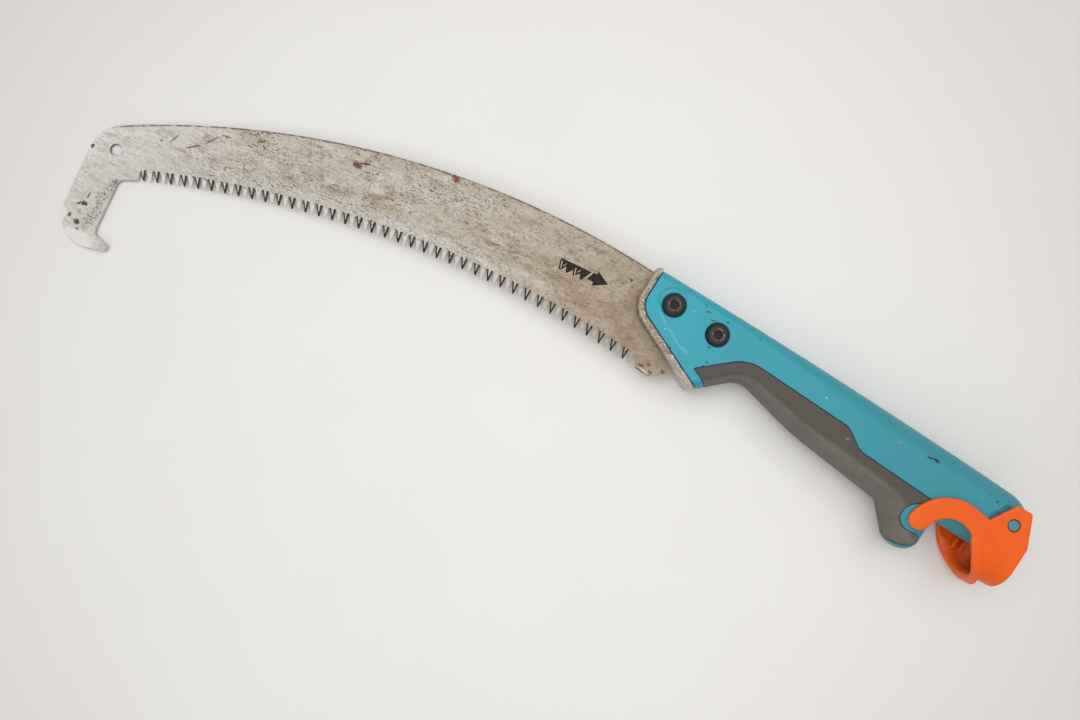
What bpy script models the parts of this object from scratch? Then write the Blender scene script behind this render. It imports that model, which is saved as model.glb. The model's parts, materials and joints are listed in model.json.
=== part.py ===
"""Curved pruning saw: hooked pull-cut blade, bolster, two-shell handle, soft grips and a locking lever.

The side view is drawn in X (to the handle's rear) and Y (to the saw's back). Its zero is the point
where the lever's pivot crosses the handle's axis, and Z runs across the saw. Lengths are in metres.
"""
import math

import bmesh
import bpy
from mathutils import Matrix, Vector, geometry

# Fits
SEAT_GAP = 0.0003
GRIP_GAP = 0.0004
BOLT_CLEARANCE = 0.0003
PIVOT_CLEARANCE = 0.0005
LEVER_CLEARANCE = 0.0004

# Blade: back and tooth line are arcs about centres on one line across the blade
BLADE_THICKNESS = 0.0015
ARC_X = -0.241
BACK_TOP = 0.0158
BACK_RADIUS = 0.532
TOOTH_RADIUS = 0.625
HEEL_WIDTH = 0.0511
TOOTHED_LENGTH = 0.307
TOOTH_COUNT = 76
TOOTH_DEPTH = 0.0064
TOOTH_LEAN = 0.86
TOOTH_BEVEL = 0.0009
TOOTH_LIFT = 0.0018
GULLET_FLAT = 0.0003
TEETH_END_X = -0.2184
HEEL_NOTCH = (-0.2170, -0.0289)
HEEL_FRONT = (-0.2145, -0.0360)
HEEL_CORNER = (-0.2054, -0.0363)
HANG_HOLE = (-0.5362, -0.0908)
HANG_HOLE_DIAMETER = 0.007
TANG_PAST_BOLT = 0.0124
TANG_TOP = 0.012
TANG_BOTTOM = -0.0099
TANG_SHOULDER = 0.006
TANG_CORNER = 0.003

# Hook at the blade's tip, as corners with their radii from the tooth line round to the back
HOOK = (
    (-0.5255, -0.1046, 0.0060),
    (-0.5212, -0.1385, 0.0035),
    (-0.5095, -0.1408, 0.0006),
    (-0.5102, -0.1443, 0.0010),
    (-0.5426, -0.1561, 0.0195),
)
HOOK_SHOULDER = (-0.5522, -0.0848, 0.0210)

# Handle in side view
FRONT_X = -0.230
FRONT_CORNER_Y = -0.006
FRONT_SLOPE = math.radians(24.3)
FRONT_FILLET = 0.0115
GUARD_REACH = 0.0545
GUARD_ANGLE = math.radians(45)
FRONT_TOP = 0.0187
TUBE_TOP = 0.0168
TUBE_BOTTOM = -0.0188
TUBE_END_X = 0.0145
TUBE_END_RADIUS = 0.017
TOP_CROWN = 0.0015
FRONT_RUN_ON = 0.018
NOTCH_TOP = (-0.1605, -0.0106)
NOTCH_RADIUS = 0.008
PALM_SWELL = (-0.1200, -0.0202)
PALM_RADIUS = 0.120
PALM_REAR_Y = -0.0262
POMMEL_NECK_X = -0.0619
POMMEL_NECK = 0.004
POMMEL_LEAN = math.radians(44.5)
POMMEL_BOTTOM = -0.0430
POMMEL_FRONT_RADIUS = 0.010
POMMEL_REAR_X = -0.0311
POMMEL_REAR_RADIUS = 0.0090

# Handle across
FRONT_HALF = 0.014
REAR_HALF = 0.018
TAPER_START_X = -0.185
TAPER_END_X = -0.075
FRONT_EDGE = 0.006
REAR_EDGE = 0.013
PARTING_LAND = 0.0005

# Soft grip, let into each shell
GRIP_THICKNESS = 0.0025
GRIP_STRIP = 0.0050
GRIP_CORNER_X = -0.1877
GRIP_TOP_FRONT = (-0.1650, 0.0006)
GRIP_STEP_FRONT = (-0.1000, -0.0018)
GRIP_STEP_REAR = (-0.0885, -0.0096)
GRIP_TOP_REAR = (-0.0420, -0.0113)
GRIP_TOP_RADIUS = 0.010
GRIP_TAIL = (-0.0445, -0.0310)
GRIP_TAIL_RADIUS = 0.0104
GRIP_TAIL_ANGLE = math.radians(-14)
GRIP_LAND_END = math.radians(300)

# Pole socket in the handle's rear
SOCKET_DIAMETER = 0.026
SOCKET_DEPTH = 0.060

# Bolster
BOLSTER_WIDTH = 0.0042
BOLSTER_EDGE_HALF = 0.0095
BOLSTER_END_RADIUS = 0.0030
TONGUE_THICKNESS = 0.008
TONGUE_MARGIN = 0.003

# Blade bolts and nuts
BOLT_X = (-0.2152, -0.1864)
BOLT_Y = (0.0040, 0.0028)
BOLT_DIAMETER = 0.008
BOLT_HEAD_DIAMETER = 0.0136
BOLT_HEAD_HEIGHT = 0.0044
BOLT_RIM_HEIGHT = 0.0013
BOLT_CROWN_DIAMETER = 0.008
BOLT_SOCKET = 0.005
BOLT_SOCKET_DEPTH = 0.0028
HEAD_RECESS = 0.0020
NUT_ACROSS_FLATS = 0.013
NUT_HEIGHT = 0.0065
NUT_RECESS = 0.0072

# Shell screws, driven from the right side
SCREW_X = (-0.158, -0.116, -0.072)
SCREW_Y = (0.011, 0.010, 0.009)
SCREW_DIAMETER = 0.0035
SCREW_HEAD_DIAMETER = 0.007
SCREW_HEAD_HEIGHT = 0.0026
SCREW_RIM_HEIGHT = 0.0010
SCREW_CROWN_DIAMETER = 0.0052
SCREW_LENGTH = 0.018
SCREW_RECESS = 0.0075

# Locking lever: a scoop below the tube's end, two cheeks beside it and two goose-neck arms
LEVER_WALL = 0.0026
LEVER_BOTTOM = -0.0338
LEVER_CORNER = 0.0130
LEVER_REAR_X = 0.0128
LEVER_TOP = 0.0106
LEVER_TOP_SPAN = (-0.0035, 0.0055)
LEVER_TOP_FILLETS = (0.0015, 0.0020)
LEVER_SHOULDER_Y = -0.0070
LEVER_SHOULDER_FILLET = 0.0030
LEVER_NOTCH = (-0.0123, -0.0040)
LEVER_NOTCH_FILLET = 0.0005
MOUTH_START_ANGLE = math.radians(57.5)
MOUTH_BEND = (-0.0075, -0.0290)
MOUTH_BEND_RADIUS = 0.040
MOUTH_FOOT_ANGLE = math.radians(41)
LIP_START = 0.0040
LIP_FLARE = 0.0050
LIP_CORNER = 0.0140
LIP_WIDTH = 0.0050
LIP_BACK_ANGLE = math.radians(54.5)
LIP_FRONT = 0.0006
LIP_WALL = 0.0023
LIP_SIDE_WALL = 0.0015
FUNNEL_DEPTH = 0.0030
ARM_CENTRE = (-0.0240, -0.0280)
ARM_OUTER = 0.0256
ARM_INNER = 0.0142
ARM_END_ANGLE = math.radians(169)
LAND_MARGIN = 0.0022
PIVOT_DIAMETER = 0.006
PIVOT_SETBACK = 0.0002
RIB_PLACES = (-0.0040, 0.0006)
RIB_WIDTH = 0.0020
RIB_TOP = -0.0206
RIB_BOTTOM = -0.0270
RIB_REACH = 0.0050
REAR_WALL_TOP = -0.0212

# Fineness of the facets
ARC_STEP = math.radians(15)
EDGE_SPACING = 0.008
GRID_SPACING = 0.013
POINT_SPACING = 0.0015
SKIN_ANGLES = tuple(math.radians(a) for a in (28, 58, 90))
BEAD_SHARES = (0.15, 0.45)
DEPTH_SLACK = 0.96
ROUND_SIDES = 24
DOME_STEPS = 3
HANDLE_BACK_STEPS = 8
BLADE_BACK_STEPS = 24
WELD = 1e-6
FLAT_ANGLE = math.radians(0.3)
SMOOTH_ANGLE = math.radians(32)

# Reach of the cutters past what they cut
OVERCUT = 0.030

LEVER_HALF = REAR_HALF + LEVER_CLEARANCE + LEVER_WALL
TUBE_Y = (TUBE_TOP + TUBE_BOTTOM) / 2
TANG_END_X = BOLT_X[1] + TANG_PAST_BOLT
BOLT_PLACES = tuple(zip(BOLT_X, BOLT_Y))
SCREW_PLACES = tuple(zip(SCREW_X, SCREW_Y))
MOUTH_TOP = (ARM_CENTRE[0] + ARM_INNER * math.cos(MOUTH_START_ANGLE),
             ARM_CENTRE[1] + ARM_INNER * math.sin(MOUTH_START_ANGLE))


def clear_scene():
    for item in list(bpy.data.objects):
        bpy.data.objects.remove(item)


def make_object(name, bm):
    bmesh.ops.recalc_face_normals(bm, faces=bm.faces)
    mesh = bpy.data.meshes.new(name)
    bm.to_mesh(mesh)
    bm.free()
    item = bpy.data.objects.new(name, mesh)
    bpy.context.collection.objects.link(item)
    return item


def arc(centre, radius, start, end):
    steps = max(2, math.ceil(abs(end - start) / ARC_STEP))
    angles = [start + (end - start) * i / steps for i in range(steps + 1)]
    return [Vector((centre[0] + radius * math.cos(a), centre[1] + radius * math.sin(a))) for a in angles]


def circle(centre, radius, sides=ROUND_SIDES):
    angles = [2 * math.pi * i / sides for i in range(sides)]
    return [Vector((centre[0] + radius * math.cos(a), centre[1] + radius * math.sin(a))) for a in angles]


def hexagon(centre, across_flats):
    return circle(centre, across_flats / math.sqrt(3), 6)


def rectangle(left, right, low, high):
    return [Vector(p) for p in ((left, low), (right, low), (right, high), (left, high))]


def rounded(corners, closed=True):
    """Points of an outline given as (x, y, radius) corners, with an arc at each corner with a radius."""
    points = []
    last = len(corners) - 1
    for i, (x, y, radius) in enumerate(corners):
        here = Vector((x, y))
        if radius == 0 or (not closed and i in (0, last)):
            points.append(here)
            continue
        before = (Vector(corners[i - 1][:2]) - here).normalized()
        after = (Vector(corners[(i + 1) % (last + 1)][:2]) - here).normalized()
        half = before.angle(after) / 2
        centre = here + (before + after).normalized() * (radius / math.sin(half))
        start = here + before * (radius / math.tan(half)) - centre
        turn = math.copysign(math.pi - 2 * half, -before.cross(after))
        first = math.atan2(start.y, start.x)
        points += arc(centre, radius, first, first + turn)
    return points


def resample(points, spacing, closed=True):
    """The same outline with long straight edges divided."""
    result = []
    ends = points[1:] + points[:1] if closed else points[1:]
    for a, b in zip(points, ends):
        steps = max(1, round((b - a).length / spacing))
        result += [a.lerp(b, i / steps) for i in range(steps)]
    return result if closed else result + [points[-1]]


def prism(name, outline, low, high, across="Z"):
    """Closed solid of an outline, extruded along Z, or along X from an outline of (z, y) points."""
    bm = bmesh.new()
    if across == "Z":
        rings = [[bm.verts.new((p.x, p.y, level)) for p in outline] for level in (low, high)]
    else:
        rings = [[bm.verts.new((level, p.y, p.x)) for p in outline] for level in (low, high)]
    bm.faces.new(rings[0])
    bm.faces.new(rings[1])
    for i in range(len(outline)):
        bm.faces.new((rings[0][i - 1], rings[0][i], rings[1][i], rings[1][i - 1]))
    return make_object(name, bm)


def turned(name, profile, centre, sides=ROUND_SIDES):
    """Closed solid of revolution about a line along Z; the profile's (radius, z) ends lie on that line."""
    bm = bmesh.new()
    rings = []
    for radius, z in profile:
        if radius == 0:
            rings.append([bm.verts.new((centre[0], centre[1], z))])
        else:
            rings.append([bm.verts.new((p.x, p.y, z)) for p in circle(centre, radius, sides)])
    for a, b in zip(rings, rings[1:]):
        for i in range(sides):
            quad = (a[i - 1], a[i], b[i], b[i - 1]) if len(a) > 1 and len(b) > 1 else None
            fan = (a[0], b[i], b[i - 1]) if len(a) == 1 else (a[i - 1], a[i], b[0])
            bm.faces.new(quad or fan)
    return make_object(name, bm)


def boolean(target, tool, operation="DIFFERENCE"):
    """Apply one exact Boolean and remove its tool."""
    modifier = target.modifiers.new("Boolean", "BOOLEAN")
    modifier.operation = operation
    modifier.solver = "EXACT"
    modifier.object = tool
    depsgraph = bpy.context.evaluated_depsgraph_get()
    mesh = bpy.data.meshes.new_from_object(target.evaluated_get(depsgraph))
    target.modifiers.clear()
    target.data = mesh
    bpy.data.objects.remove(tool)


def bore(target, centre, diameter, low, high, sides=ROUND_SIDES):
    boolean(target, prism("bore", circle(centre, diameter / 2, sides), low, high))


def merge_flat_faces(item):
    """Join coplanar triangles, so that flat walls stay plain."""
    bm = bmesh.new()
    bm.from_mesh(item.data)
    bmesh.ops.remove_doubles(bm, verts=bm.verts, dist=WELD)
    bmesh.ops.dissolve_limit(bm, angle_limit=FLAT_ANGLE, verts=bm.verts, edges=bm.edges)
    bm.to_mesh(item.data)
    bm.free()


def mirrored(item, name):
    """Copy of a left-side piece on the right side."""
    bm = bmesh.new()
    bm.from_mesh(item.data)
    bmesh.ops.scale(bm, vec=(1, 1, -1), verts=bm.verts)
    bmesh.ops.reverse_faces(bm, faces=bm.faces)
    return make_object(name, bm)


def edge_distance(point, outline):
    """Distance from a point to a closed outline, and whether it lies inside."""
    best = math.inf
    inside = False
    for a, b in zip(outline, outline[1:] + outline[:1]):
        along = b - a
        share = min(1, max(0, (point - a).dot(along) / along.length_squared))
        best = min(best, (point - a - along * share).length)
        if (a.y > point.y) != (b.y > point.y):
            crossing = a.x + (point.y - a.y) / (b.y - a.y) * (b.x - a.x)
            inside ^= point.x < crossing
    return best, inside


def depth_points(outline, depths, keep):
    """Points inside an outline at depths that vary along X, and a coarse grid over the rest of it."""
    points = []
    count = len(outline)
    for depth_at in depths:
        for i in range(count):
            along = outline[(i + 1) % count] - outline[i - 1]
            inward = Vector((-along.y, along.x)).normalized()
            depth = depth_at(outline[i].x)
            point = outline[i] + inward * depth
            distance, inside = edge_distance(point, outline)
            crowded = any((point - p).length < POINT_SPACING for p in points[-count:])
            if inside and distance > depth * DEPTH_SLACK and not crowded and keep(point):
                points.append(point)
    low = Vector((min(p.x for p in outline), min(p.y for p in outline)))
    high = Vector((max(p.x for p in outline), max(p.y for p in outline)))
    for i in range(int((high.x - low.x) / GRID_SPACING)):
        for j in range(int((high.y - low.y) / GRID_SPACING)):
            point = low + Vector((i + 0.5, j + 0.5)) * GRID_SPACING
            distance, inside = edge_distance(point, outline)
            if inside and distance > depths[-1](point.x) + POINT_SPACING and keep(point):
                points.append(point)
    return points


def height_solid(name, outline, inner, low, high):
    """Closed solid between two heights, each a function of a point, over an outline."""
    count = len(outline)
    edges = [(i, (i + 1) % count) for i in range(count)]
    plan = geometry.delaunay_2d_cdt(outline + inner, edges, [], 1, WELD)
    bm = bmesh.new()
    under = [bm.verts.new((p.x, p.y, low(p))) for p in plan[0]]
    over = [bm.verts.new((p.x, p.y, high(p))) for p in plan[0]]
    sides = {}
    for a, b, c in plan[2]:
        bm.faces.new((under[c], under[b], under[a]))
        bm.faces.new((over[a], over[b], over[c]))
        for pair in ((a, b), (b, c), (c, a)):
            sides[pair] = pair[::-1] not in sides
            if not sides[pair]:
                sides[pair[::-1]] = False
    for (a, b), open_side in sides.items():
        if open_side:
            bm.faces.new((under[a], under[b], over[b], over[a]))
    for verts in (under, over):
        bmesh.ops.delete(bm, geom=[v for v in verts if not v.link_faces], context="VERTS")
    return make_object(name, bm)


def front_line(ahead):
    """The handle's front edge, moved ahead of it: upright at the top, then sloping back to the guard."""
    fall = math.tan(FRONT_SLOPE)
    x = FRONT_X - ahead
    y = FRONT_CORNER_Y - ahead * (1 - math.sin(FRONT_SLOPE)) / math.cos(FRONT_SLOPE)
    far = GUARD_REACH + OVERCUT
    corners = (
        (x, FRONT_TOP + OVERCUT, 0),
        (x, y, FRONT_FILLET + ahead),
        (x + far, y - far * fall, 0),
    )
    return rounded(corners, closed=False)


def guard_tip():
    return Vector((FRONT_X + GUARD_REACH * math.cos(FRONT_SLOPE),
                   FRONT_CORNER_Y - GUARD_REACH * math.sin(FRONT_SLOPE)))


def taper(x):
    """Share of the way, eased at both ends, from the slim front of the handle to the full tube."""
    share = min(1, max(0, (x - TAPER_START_X) / (TAPER_END_X - TAPER_START_X)))
    return share * share * (3 - 2 * share)


def half_width(x):
    return FRONT_HALF + (REAR_HALF - FRONT_HALF) * taper(x)


def edge_radius(x):
    return FRONT_EDGE + (REAR_EDGE - FRONT_EDGE) * taper(x)


def top_line(x):
    """Height of the handle's gently crowned back."""
    share = x / FRONT_X
    return TUBE_TOP + (FRONT_TOP - TUBE_TOP) * share + TOP_CROWN * 4 * share * (1 - share)


def handle_outline():
    """The handle from the side, carried on ahead of the front line, which cuts it later."""
    guard = Vector((math.cos(GUARD_ANGLE), math.sin(GUARD_ANGLE)))
    start = guard_tip() - guard * FRONT_RUN_ON
    ahead = FRONT_X - FRONT_RUN_ON
    pommel_x = POMMEL_NECK_X + (PALM_REAR_Y - POMMEL_BOTTOM) / math.tan(POMMEL_LEAN)
    below = rounded((
        (ahead, start.y + FRONT_RUN_ON, 0),
        (start.x, start.y, 0),
        (*NOTCH_TOP, NOTCH_RADIUS),
        (*PALM_SWELL, PALM_RADIUS),
        (POMMEL_NECK_X, PALM_REAR_Y, POMMEL_NECK),
        (pommel_x, POMMEL_BOTTOM, POMMEL_FRONT_RADIUS),
        (POMMEL_REAR_X, POMMEL_BOTTOM, POMMEL_REAR_RADIUS),
        (POMMEL_REAR_X, TUBE_BOTTOM, POMMEL_NECK),
        (TUBE_END_X, TUBE_BOTTOM, TUBE_END_RADIUS),
        (TUBE_END_X, TUBE_TOP, TUBE_END_RADIUS),
        (TUBE_END_X - 2 * TUBE_END_RADIUS, TUBE_TOP, 0),
    ))[:-1]
    places = [FRONT_X * (i + 1) / HANDLE_BACK_STEPS for i in range(HANDLE_BACK_STEPS)]
    back = [Vector((x, top_line(x))) for x in places]
    back.append(Vector((ahead, back[-1].y)))
    return resample(below + back, EDGE_SPACING)


def skin_height(point, outline, depth):
    """Height of the handle's side at a point, or of a layer at a depth below it; negative past its edge."""
    distance, inside = edge_distance(point, outline)
    behind_edge = (distance if inside else -distance) - depth
    if behind_edge < 0:
        return behind_edge
    rise = 1 - min(1, behind_edge / edge_radius(point.x))
    return (half_width(point.x) - depth) * math.sqrt(1 - rise * rise)


def skin_depths(depth):
    """Shares of the edge's rounding at which the skin is drawn, for any place along the handle."""
    return [lambda x, a=a: depth + edge_radius(x) * (1 - math.cos(a)) for a in SKIN_ANGLES]


def half_form(name, outline):
    """The left half of the whole handle, shells and grips in one."""
    def over(point):
        return max(PARTING_LAND, skin_height(point, outline, 0))

    inner = depth_points(outline, skin_depths(0), lambda p: True)
    return height_solid(name, outline, inner, lambda p: SEAT_GAP / 2, over)


def arm_tip():
    middle = (ARM_OUTER + ARM_INNER) / 2
    return Vector((ARM_CENTRE[0] + middle * math.cos(ARM_END_ANGLE),
                   ARM_CENTRE[1] + middle * math.sin(ARM_END_ANGLE)))


def grip_region(inset):
    """The soft grip's area in side view, carried on below the handle, drawn in from its border."""
    strip = front_line(-GRIP_STRIP - inset)[-2:]
    along = (strip[1] - strip[0]).normalized()
    corner = strip[0] + along * ((GRIP_CORNER_X + inset - strip[0].x) / along.x)
    foot = corner + along * (GRIP_STRIP + OVERCUT)
    tip = arm_tip()
    land = (ARM_OUTER - ARM_INNER) / 2 + LAND_MARGIN + inset
    border = rounded((
        (foot.x, foot.y, 0),
        (corner.x, corner.y, 0),
        (GRIP_TOP_FRONT[0], GRIP_TOP_FRONT[1] - inset, GRIP_TOP_RADIUS),
        (GRIP_STEP_FRONT[0], GRIP_STEP_FRONT[1] - inset, GRIP_TOP_RADIUS),
        (GRIP_STEP_REAR[0], GRIP_STEP_REAR[1] - inset, GRIP_TOP_RADIUS),
        (GRIP_TOP_REAR[0] - inset, GRIP_TOP_REAR[1] - inset, 0),
    ), closed=False)
    top = math.atan2(border[-1].y - tip.y, border[-1].x - tip.x)
    around = arc(tip, land, top, GRIP_LAND_END)
    rear = arc(GRIP_TAIL, GRIP_TAIL_RADIUS - inset, GRIP_TAIL_ANGLE, -math.pi / 2)
    low = POMMEL_BOTTOM - OVERCUT
    closing = [Vector((GRIP_TAIL[0], low)), Vector((foot.x, low))]
    return resample(border + around + rear + closing, EDGE_SPACING / 2)


def grip_layer(name, outline, inset, depth):
    """Everything outside a layer below the handle's skin, over the grip's area."""
    region = grip_region(inset)

    def under(point):
        return skin_height(point, outline, depth)

    inner = depth_points(outline, [lambda x: depth] + skin_depths(depth),
                         lambda p: edge_distance(p, region)[1])
    return height_solid(name, region, inner, under, lambda p: REAR_HALF + OVERCUT)


def meeting_point(a, along_a, b, along_b):
    """Where two lines meet, each given by a point and a direction."""
    return a + along_a * ((b - a).cross(along_b) / along_a.cross(along_b))


def heel_edge(margin):
    """The blade's edge from the heel's corner to the tang's end, as a point and a direction."""
    along = Vector((TANG_END_X - HEEL_CORNER[0], TANG_BOTTOM - HEEL_CORNER[1])).normalized()
    return Vector(HEEL_CORNER) + Vector((along.y, -along.x)) * margin, along


def tang_corners(margin):
    """Corners of the blade's tang behind the bolster, or of what surrounds it by a margin."""
    end_x = TANG_END_X + margin
    low = meeting_point(*heel_edge(margin), Vector((end_x, 0)), Vector((0, 1)))
    return (
        (low.x, low.y, TANG_CORNER + margin),
        (end_x, TANG_TOP + margin, TANG_CORNER + margin),
    )


def tang_shoulder(margin):
    """The step from the blade's back down to the tang, inside the bolster's bead."""
    x = FRONT_X - BOLSTER_WIDTH / 2
    return (x + TANG_SHOULDER, TANG_TOP + margin, 0), (x, BACK_TOP + margin, 0)


def tongue_outline(margin):
    """The bolster's inner tongue in side view, from inside the bolster's bead to behind the tang."""
    line = front_line(BOLSTER_WIDTH / 2)
    low = meeting_point(*heel_edge(margin), line[-1], line[-1] - line[-2])
    upper = [(line[0].x, TANG_TOP + margin, 0)] + [(p.x, p.y, 0) for p in line[1:-1]]
    return rounded((*upper, (low.x, low.y, 0), *tang_corners(margin)))


def make_blade():
    """Plate with hook, tang and teeth; the teeth are bevelled by turns on one face and the other."""
    tooth_centre = Vector((ARC_X, BACK_TOP - HEEL_WIDTH - TOOTH_RADIUS))
    back_centre = Vector((ARC_X, BACK_TOP - BACK_RADIUS))
    first = math.acos((TEETH_END_X - ARC_X) / TOOTH_RADIUS)
    pitch = TOOTHED_LENGTH / TOOTH_COUNT / TOOTH_RADIUS
    root = TOOTH_RADIUS + TOOTH_DEPTH
    flat = GULLET_FLAT / TOOTH_RADIUS / 2
    bevel = TOOTH_BEVEL / TOOTH_RADIUS

    def at(radius, angle):
        return tooth_centre + Vector((radius * math.cos(angle), radius * math.sin(angle)))

    def tooth(index, inset):
        heel_side = first + pitch * index + flat
        hook_side = first + pitch * (index + 1) - flat
        tip = hook_side + (heel_side - hook_side) * TOOTH_LEAN
        slant = inset * bevel
        point = at(TOOTH_RADIUS + inset * TOOTH_LIFT, tip + slant / 2)
        return [at(root, heel_side + slant), point, at(root, hook_side - slant)]

    hook_x = HOOK_SHOULDER[0] + HOOK_SHOULDER[2]
    back_end = math.acos((hook_x - ARC_X) / BACK_RADIUS)
    last_gullet = first + pitch * TOOTH_COUNT
    hook = rounded((
        (*at(root, last_gullet), 0),
        (*at(TOOTH_RADIUS, last_gullet), 0),
        *HOOK,
        HOOK_SHOULDER,
        (hook_x, back_centre[1] + BACK_RADIUS * math.sin(back_end), 0),
    ), closed=False)[1:-1]
    back_turn = math.pi / 2 - back_end
    back_angles = [back_end + back_turn * i / BLADE_BACK_STEPS for i in range(BLADE_BACK_STEPS + 1)]
    back = [back_centre + Matrix.Rotation(a, 2) @ Vector((BACK_RADIUS, 0)) for a in back_angles]
    tang = rounded((
        (ARC_X, BACK_TOP, 0),
        *reversed(tang_shoulder(0)),
        *reversed(tang_corners(0)),
        (*HEEL_CORNER, 0),
        (*HEEL_FRONT, 0),
        (*HEEL_NOTCH, 0),
    ), closed=False)[1:]
    faces = []
    for side in (0, 1):
        teeth = []
        for index in range(TOOTH_COUNT):
            teeth += tooth(index, (index + 1 - side) % 2)
        faces.append(teeth + hook + back + tang)
    bm = bmesh.new()
    levels = (-BLADE_THICKNESS / 2, BLADE_THICKNESS / 2)
    rings = [[bm.verts.new((p.x, p.y, z)) for p in face] for face, z in zip(faces, levels)]
    bm.faces.new(rings[0])
    bm.faces.new(rings[1])
    for i in range(len(rings[0])):
        bm.faces.new((rings[0][i - 1], rings[0][i], rings[1][i], rings[1][i - 1]))
    blade = make_object("blade", bm)
    bore(blade, HANG_HOLE, HANG_HOLE_DIAMETER, -OVERCUT, OVERCUT)
    for place in BOLT_PLACES:
        bore(blade, place, BOLT_DIAMETER + 2 * BOLT_CLEARANCE, -OVERCUT, OVERCUT)
    return blade


def make_bolster():
    """Cast bead along the handle's front, with a tongue between the shells and a slot for the blade."""
    outer = front_line(BOLSTER_WIDTH)
    inner = front_line(SEAT_GAP)
    tip = guard_tip()
    along = Vector((math.cos(FRONT_SLOPE), -math.sin(FRONT_SLOPE)))
    top = top_line(FRONT_X) - SEAT_GAP

    def trimmed(line):
        start = Vector((line[0].x, top))
        end = line[-1] - along * (line[-1] - tip).dot(along)
        return [start] + line[1:-1] + [end]

    outside = trimmed(outer)
    inside = trimmed(inner)
    corners = [(p.x, p.y, 0) for p in outside + inside[::-1]]
    end = len(outside) - 1
    corners[0] = (*outside[0], BOLSTER_END_RADIUS)
    corners[end] = (*outside[end], BOLSTER_END_RADIUS)
    region = resample(rounded(corners), EDGE_SPACING)
    bead = BOLSTER_WIDTH - SEAT_GAP

    def height(point):
        behind = min(edge_distance(point, region_outer)[0] / bead, 1)
        rise = 1 - behind
        return BOLSTER_EDGE_HALF + (FRONT_HALF - BOLSTER_EDGE_HALF) * math.sqrt(1 - rise * rise)

    reach = Vector((OVERCUT, OVERCUT))
    region_outer = rounded(corners[:end + 1], closed=False)
    region_outer = region_outer + [tip + reach, Vector((inside[0].x, top)) + reach]
    inner_points = depth_points(region, [lambda x, s=s: bead * s for s in BEAD_SHARES], lambda p: True)
    bolster = height_solid("bolster", region, inner_points, lambda p: -height(p), height)
    boolean(bolster, prism("tongue", tongue_outline(TONGUE_MARGIN), -TONGUE_THICKNESS / 2,
                           TONGUE_THICKNESS / 2), "UNION")
    slot_half = BLADE_THICKNESS / 2 + SEAT_GAP
    heel_x = HEEL_CORNER[0]
    slot = rounded((
        (FRONT_X - 2 * BOLSTER_WIDTH, BACK_TOP + SEAT_GAP, 0),
        (FRONT_X - 2 * BOLSTER_WIDTH, HEEL_CORNER[1] - SEAT_GAP, 0),
        (heel_x, HEEL_CORNER[1] - SEAT_GAP, 0),
        *tang_corners(SEAT_GAP),
        *tang_shoulder(SEAT_GAP),
    ))
    boolean(bolster, prism("slot", slot, -slot_half, slot_half))
    for place in BOLT_PLACES:
        bore(bolster, place, BOLT_DIAMETER + 2 * BOLT_CLEARANCE, -OVERCUT, OVERCUT)
    merge_flat_faces(bolster)
    return bolster


def make_shells(outline):
    """Left and right handle shells with seats for the grip, bolster, bolts, screws, pole and lever."""
    left = half_form("left_shell", outline)
    line = front_line(0)
    ahead = FRONT_X - 2 * OVERCUT
    cut = line + [Vector((ahead, line[-1].y)), Vector((ahead, line[0].y))]
    boolean(left, prism("front_cut", cut, -OVERCUT, OVERCUT))
    boolean(left, grip_layer("grip_seat", outline, 0, GRIP_THICKNESS))
    pocket = TONGUE_THICKNESS / 2 + SEAT_GAP
    boolean(left, prism("tongue_pocket", tongue_outline(TONGUE_MARGIN + SEAT_GAP), -pocket, pocket))
    socket = prism("socket", circle((0, TUBE_Y), SOCKET_DIAMETER / 2), TUBE_END_X - SOCKET_DEPTH,
                   TUBE_END_X + OVERCUT, across="X")
    boolean(left, socket)
    trunnion = prism("trunnion", circle((0, 0), PIVOT_DIAMETER / 2), (SOCKET_DIAMETER / 2 + REAR_HALF) / 2,
                     LEVER_HALF - PIVOT_SETBACK)
    boolean(left, trunnion, "UNION")
    for place in BOLT_PLACES:
        bore(left, place, BOLT_DIAMETER + 2 * BOLT_CLEARANCE, -OVERCUT, OVERCUT)
    right = mirrored(left, "right_shell")
    for place in BOLT_PLACES:
        head = BOLT_HEAD_DIAMETER + 2 * SEAT_GAP
        bore(left, place, head, FRONT_HALF - HEAD_RECESS, FRONT_HALF + OVERCUT)
        pocket = prism("nut_pocket", hexagon(place, NUT_ACROSS_FLATS + 2 * SEAT_GAP),
                       -FRONT_HALF - OVERCUT, -FRONT_HALF + NUT_RECESS)
        boolean(right, pocket)
    for x, y in SCREW_PLACES:
        seat = SCREW_RECESS - half_width(x)
        hole = SCREW_DIAMETER + 2 * SEAT_GAP
        bore(right, (x, y), hole, -OVERCUT, OVERCUT)
        bore(right, (x, y), SCREW_HEAD_DIAMETER + 2 * SEAT_GAP, seat - OVERCUT, seat)
        bore(left, (x, y), hole, -OVERCUT, seat + SCREW_LENGTH + SEAT_GAP)
    merge_flat_faces(left)
    merge_flat_faces(right)
    return left, right


def make_grips(outline):
    """Soft grips, each a skin over its shell from the border round to the parting line."""
    left = half_form("left_grip", outline)
    layer = grip_layer("grip_inside", outline, GRIP_GAP, GRIP_THICKNESS - GRIP_GAP)
    boolean(left, layer, "INTERSECT")
    merge_flat_faces(left)
    return left, mirrored(left, "right_grip")


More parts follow.
